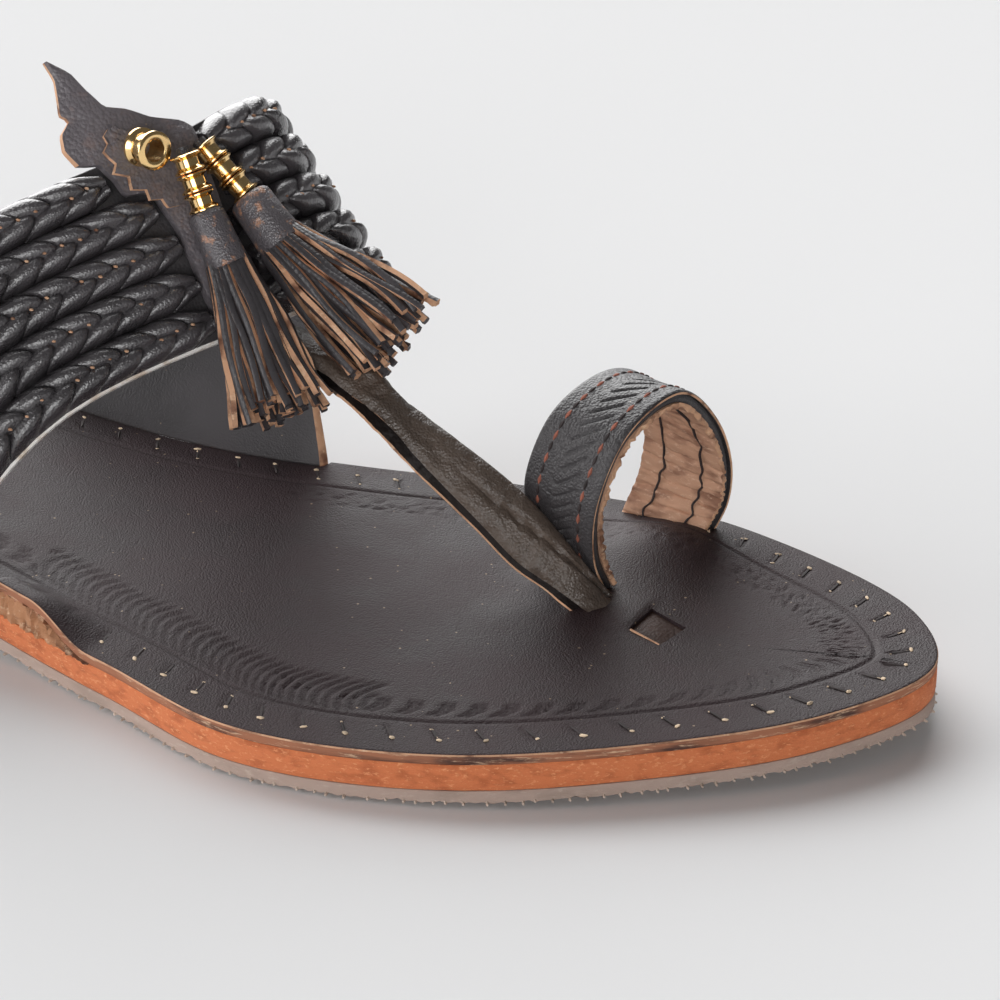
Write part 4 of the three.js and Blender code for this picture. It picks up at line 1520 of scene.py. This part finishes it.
def spool(name, replaces, start, along, sizes_mm, sides):
    """A flanged brass spool with rounded rims, turned round a line from start."""
    barrel, flange, bore, long, rim = sizes_mm
    half = [
        (bore, 0.1), (bore + 0.15, 0), (flange - 0.2, 0), (flange, 0.15), (flange, rim - 0.15),
        (flange - 0.15, rim), (barrel + 0.35, rim + 0.1), (barrel, rim + 0.45),
    ]
    bm = bmesh.new()
    profile = half + [(r, long - d) for r, d in reversed(half)]
    spin_profile(bm, profile, start, along, sides)
    finished(name, bm, "brass", "brass", replaces)


class SANDAL_OT_brass(bpy.types.Operator):
    """Turn the brass ring and the six spools."""

    bl_idname = "sandal.brass"
    bl_label = "Brass"

    def execute(self, context):
        axis = Vector(RING["axis"]).normalized()
        long = RING["length"]
        start = Vector(RING["centre"]) - axis * long / 2
        spool("ring_brass", "brass_ring", start, axis, (2.6, 3.3, 1.9, long, 0.8), 48)
        for name, tassel in TASSELS.items():
            top, neck = Vector(tassel["top"]), Vector(tassel["neck"])
            profile = (1.95, 2.65, 1.3, (neck - top).length / 3 - 0.2, 0.5)
            for k in range(3):
                number = f"{name}_spool_{k + 1}"
                spool(number + "_brass", number, mix(top, neck, k / 3), neck - top, profile, 36)
        return {"FINISHED"}


class SANDAL_OT_tassels(bpy.types.Operator):
    """Roll the caps and cut the fringes."""

    bl_idname = "sandal.tassels"
    bl_label = "Tassels"

    def execute(self, context):
        for name, tassel in TASSELS.items():
            self.cap(name, tassel)
            self.fringe(name, tassel)
            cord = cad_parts[name + "_cord"].data
            cord.materials.clear()
            cord.materials.append(MATERIALS["strap_leather"])
        return {"FINISHED"}

    def axes(self, tassel):
        hem, end = Vector(tassel["hem"]), Vector(tassel["end"])
        along = (end - hem).normalized()
        wide = Vector(tassel["spread"])
        wide = (wide - along * wide.dot(along)).normalized()
        return hem, end, along, wide, along.cross(wide)

    def cap(self, name, tassel):
        """A strip of leather rolled round the head of the fringe."""
        neck, hem = Vector(tassel["neck"]), Vector(tassel["hem"])
        along = (hem - neck).normalized()
        side = along.orthogonal().normalized()
        deep = along.cross(side)
        profile = [
            (0.0, 0.0), (0.45, 0.0), (0.85, 0.02), (0.98, 0.07), (1.0, 0.14), (1.0, 0.5),
            (1.01, 0.9), (1.0, 0.97), (0.9, 1.0), (0.4, 0.98), (0.0, 0.98),
        ]

        def lay(s, t):
            radius, share = profile[round(t * (len(profile) - 1))]
            angle = 2 * math.pi * s
            full = mix(*tassel["cap"], share)
            wound = (s + 0.12 * share) % 1
            lap = 0.22 * wound * (1 - ease(wound, 0.96, 1.0))
            dent = 0.14 * grain((math.cos(angle) * 2, math.sin(angle) * 2, share * 3), 1.0)
            out = (full * radius + (lap + dent) * (radius > 0.3)) if radius else 0.0
            return mix(neck, hem, share) + (side * math.cos(angle) + deep * math.sin(angle)) * out

        bm = bmesh.new()
        made = laid_grid(bm, 56, len(profile) - 1, lay)
        bmesh.ops.remove_doubles(bm, verts=made, dist=WELD)
        finished(name + "_cap_leather", bm, "cap_leather", "black_leather", name + "_cap")

    def fringe(self, name, tassel):
        random.seed(tassel["seed"])
        bm = bmesh.new()
        count = sizes().fringe_strips
        for k in range(count):
            self.strip(bm, tassel, k, count)
        finish = ("fringe_leather cut_leather", "fringe_leather", name + "_fringe", 30)
        finished(name + "_fringe_strips", bm, *finish)

    def strip(self, bm, tassel, k, count):
        """One strip: black on its two faces, raw on its two cut sides."""
        hem, end, along, wide, deep = self.axes(tassel)
        layer = min(2, int(k / count * 3))
        ring = (1.0, 0.72, 0.4)[layer]
        angle = 2 * math.pi * (k * 3 / count + 0.11 * layer) + random.uniform(-0.1, 0.1)
        cosine, sine = math.cos(angle), math.sin(angle)
        head = (tassel["cap"][1] - 0.75) * ring
        long = random.uniform(0.93, 1.04)
        sway = Vector([random.uniform(-0.8, 0.8) for _ in range(3)])
        wave, beat = random.uniform(0.3, 0.9), random.uniform(0, 6)
        curl = random.choice([0, 0, 0, 1, -1]) * random.uniform(0.6, 1.8)
        half = mm(sizes().fringe_strip) / 2 * random.uniform(0.85, 1.15)
        thick = random.uniform(0.42, 0.56)
        turn_start, turn_end = random.uniform(-0.5, 0.5), random.uniform(-1.1, 1.1)

        def centre(s):
            out = ease(s, -0.35, 1.0) ** 1.2
            across = mix(head, tassel["width"] * ring * 0.96, out) * cosine
            inward = mix(head, tassel["depth"] * ring * 0.95, out) * sine
            point = hem - along * 0.6 + (end - hem) * (s * long)
            point += wide * (across + curl * ease(s, 0.75, 1.1)) + deep * inward
            rolling = wave * ease(s, 0.1, 0.5) * math.sin(5 * s + beat)
            return point + sway * (s * s) + wide * rolling

        def lay(s, side, up):
            heading = (centre(s + 0.02) - centre(s - 0.02)).normalized()
            outward = (wide * cosine + deep * sine * 1.4).normalized()
            outward = (outward - heading * outward.dot(heading)).normalized()
            around = heading.cross(outward)
            turn = mix(turn_start, turn_end, s)
            flat = around * math.cos(turn) + outward * math.sin(turn)
            face = outward * math.cos(turn) - around * math.sin(turn)
            return centre(s) + flat * (side * half) + face * (up * thick)

        section = [(-1, -1), (-1, 1), (-0.5, 1.3), (0.5, 1.3), (1, 1), (1, -1)]
        laid_tube(bm, 14, section, lay, lambda s, t: 1 if int(t * 6) in (0, 4) or s > 0.97 else 0)


# -------------------------------------------------------------------- stage
class SANDAL_OT_stage(bpy.types.Operator):
    """Set up the pale floor, the soft light and the camera."""

    bl_idname = "sandal.stage"
    bl_label = "Stage"

    def execute(self, context):
        self.camera(context)
        self.floor()
        self.light(context)
        context.scene.view_settings.view_transform = "Standard"
        return {"FINISHED"}

    def camera(self, context):
        """A long lens from in front of the lateral side, tipped very slightly."""
        data = bpy.data.cameras.new("camera")
        data.lens = CAMERA["lens"]
        data.sensor_width = 36
        data.clip_start = 0.05
        camera = bpy.data.objects.new("camera", data)
        context.scene.collection.objects.link(camera)
        turn = Matrix.Translation(place(CAMERA["place"]))
        tilt = 90 - CAMERA["elevation"]
        for angle, axis in ((CAMERA["azimuth"], "Z"), (tilt, "X"), (CAMERA["roll"], "Z")):
            turn = turn @ Matrix.Rotation(math.radians(angle), 4, axis)
        camera.matrix_world = turn
        context.scene.camera = camera

    def floor(self):
        bm = bmesh.new()
        bmesh.ops.create_grid(bm, x_segments=4, y_segments=4, size=FLOOR_SIZE)
        floor = new_object("floor", bm)
        principled(
            "floor_paper", Base_Color=FLOOR_COLOUR, Roughness=0.9, Specular_IOR_Level=0.1
        )
        floor.data.materials.append(MATERIALS["floor_paper"])

    def light(self, context):
        """An even pale room with the soft boxes, and a plain backdrop."""
        world = bpy.data.worlds.new("studio")
        context.scene.world = world
        world.use_nodes = True
        tree = world.node_tree
        background = tree.nodes["Background"]
        heading = node(tree, "TexCoord").outputs["Generated"]
        total = ROOM_LIGHT
        for direction, edge, power in SOFT_BOXES:
            inputs = {0: heading, 1: Vector(direction).normalized()}
            facing = node(tree, "VectorMath", inputs, operation="DOT_PRODUCT").outputs["Value"]
            box = band_of(tree, facing, edge, edge + SOFT_BOX_FADE)
            total = maths(tree, "ADD", maths(tree, "MULTIPLY", box, power), total)
        seen = node(tree, "LightPath").outputs["Is Camera Ray"]
        strength = node(tree, "Mix", {0: seen, 2: total, 3: BACKDROP_LIGHT})
        tree.links.new(strength.outputs[0], background.inputs["Strength"])
        background.inputs["Color"].default_value = (1.0, 1.0, 1.0, 1)


# -------------------------------------------------------------------- panel
STEPS = [
    SANDAL_OT_stage,
    SANDAL_OT_materials,
    SANDAL_OT_outsole,
    SANDAL_OT_midsole,
    SANDAL_OT_insole,
    SANDAL_OT_stitches,
    SANDAL_OT_band,
    SANDAL_OT_plaits,
    SANDAL_OT_crown,
    SANDAL_OT_thong,
    SANDAL_OT_toe_loop,
    SANDAL_OT_brass,
    SANDAL_OT_tassels,
]


class SANDAL_PT_finish(bpy.types.Panel):
    """The sandal's steps, sizes and colours."""

    bl_label = "Kolhapuri sandal"
    bl_space_type = "VIEW_3D"
    bl_region_type = "UI"
    bl_category = "Sandal"

    def draw(self, context):
        for step in STEPS:
            self.layout.operator(step.bl_idname)
        for group in (context.scene.sandal_sizes, context.scene.sandal_colours):
            for name in group.__annotations__:
                self.layout.prop(group, name)


CLASSES = [SandalSizes, SandalColours, *STEPS, SANDAL_PT_finish]


def register():
    for cls in CLASSES:
        bpy.utils.register_class(cls)
    bpy.types.Scene.sandal_sizes = PointerProperty(type=SandalSizes)
    bpy.types.Scene.sandal_colours = PointerProperty(type=SandalColours)


def unregister():
    del bpy.types.Scene.sandal_colours
    del bpy.types.Scene.sandal_sizes
    for cls in reversed(CLASSES):
        bpy.utils.unregister_class(cls)


def main():
    register()
    for step in STEPS:
        group, name = step.bl_idname.split(".")
        getattr(getattr(bpy.ops, group), name)()


if __name__ == "__main__":
    main()
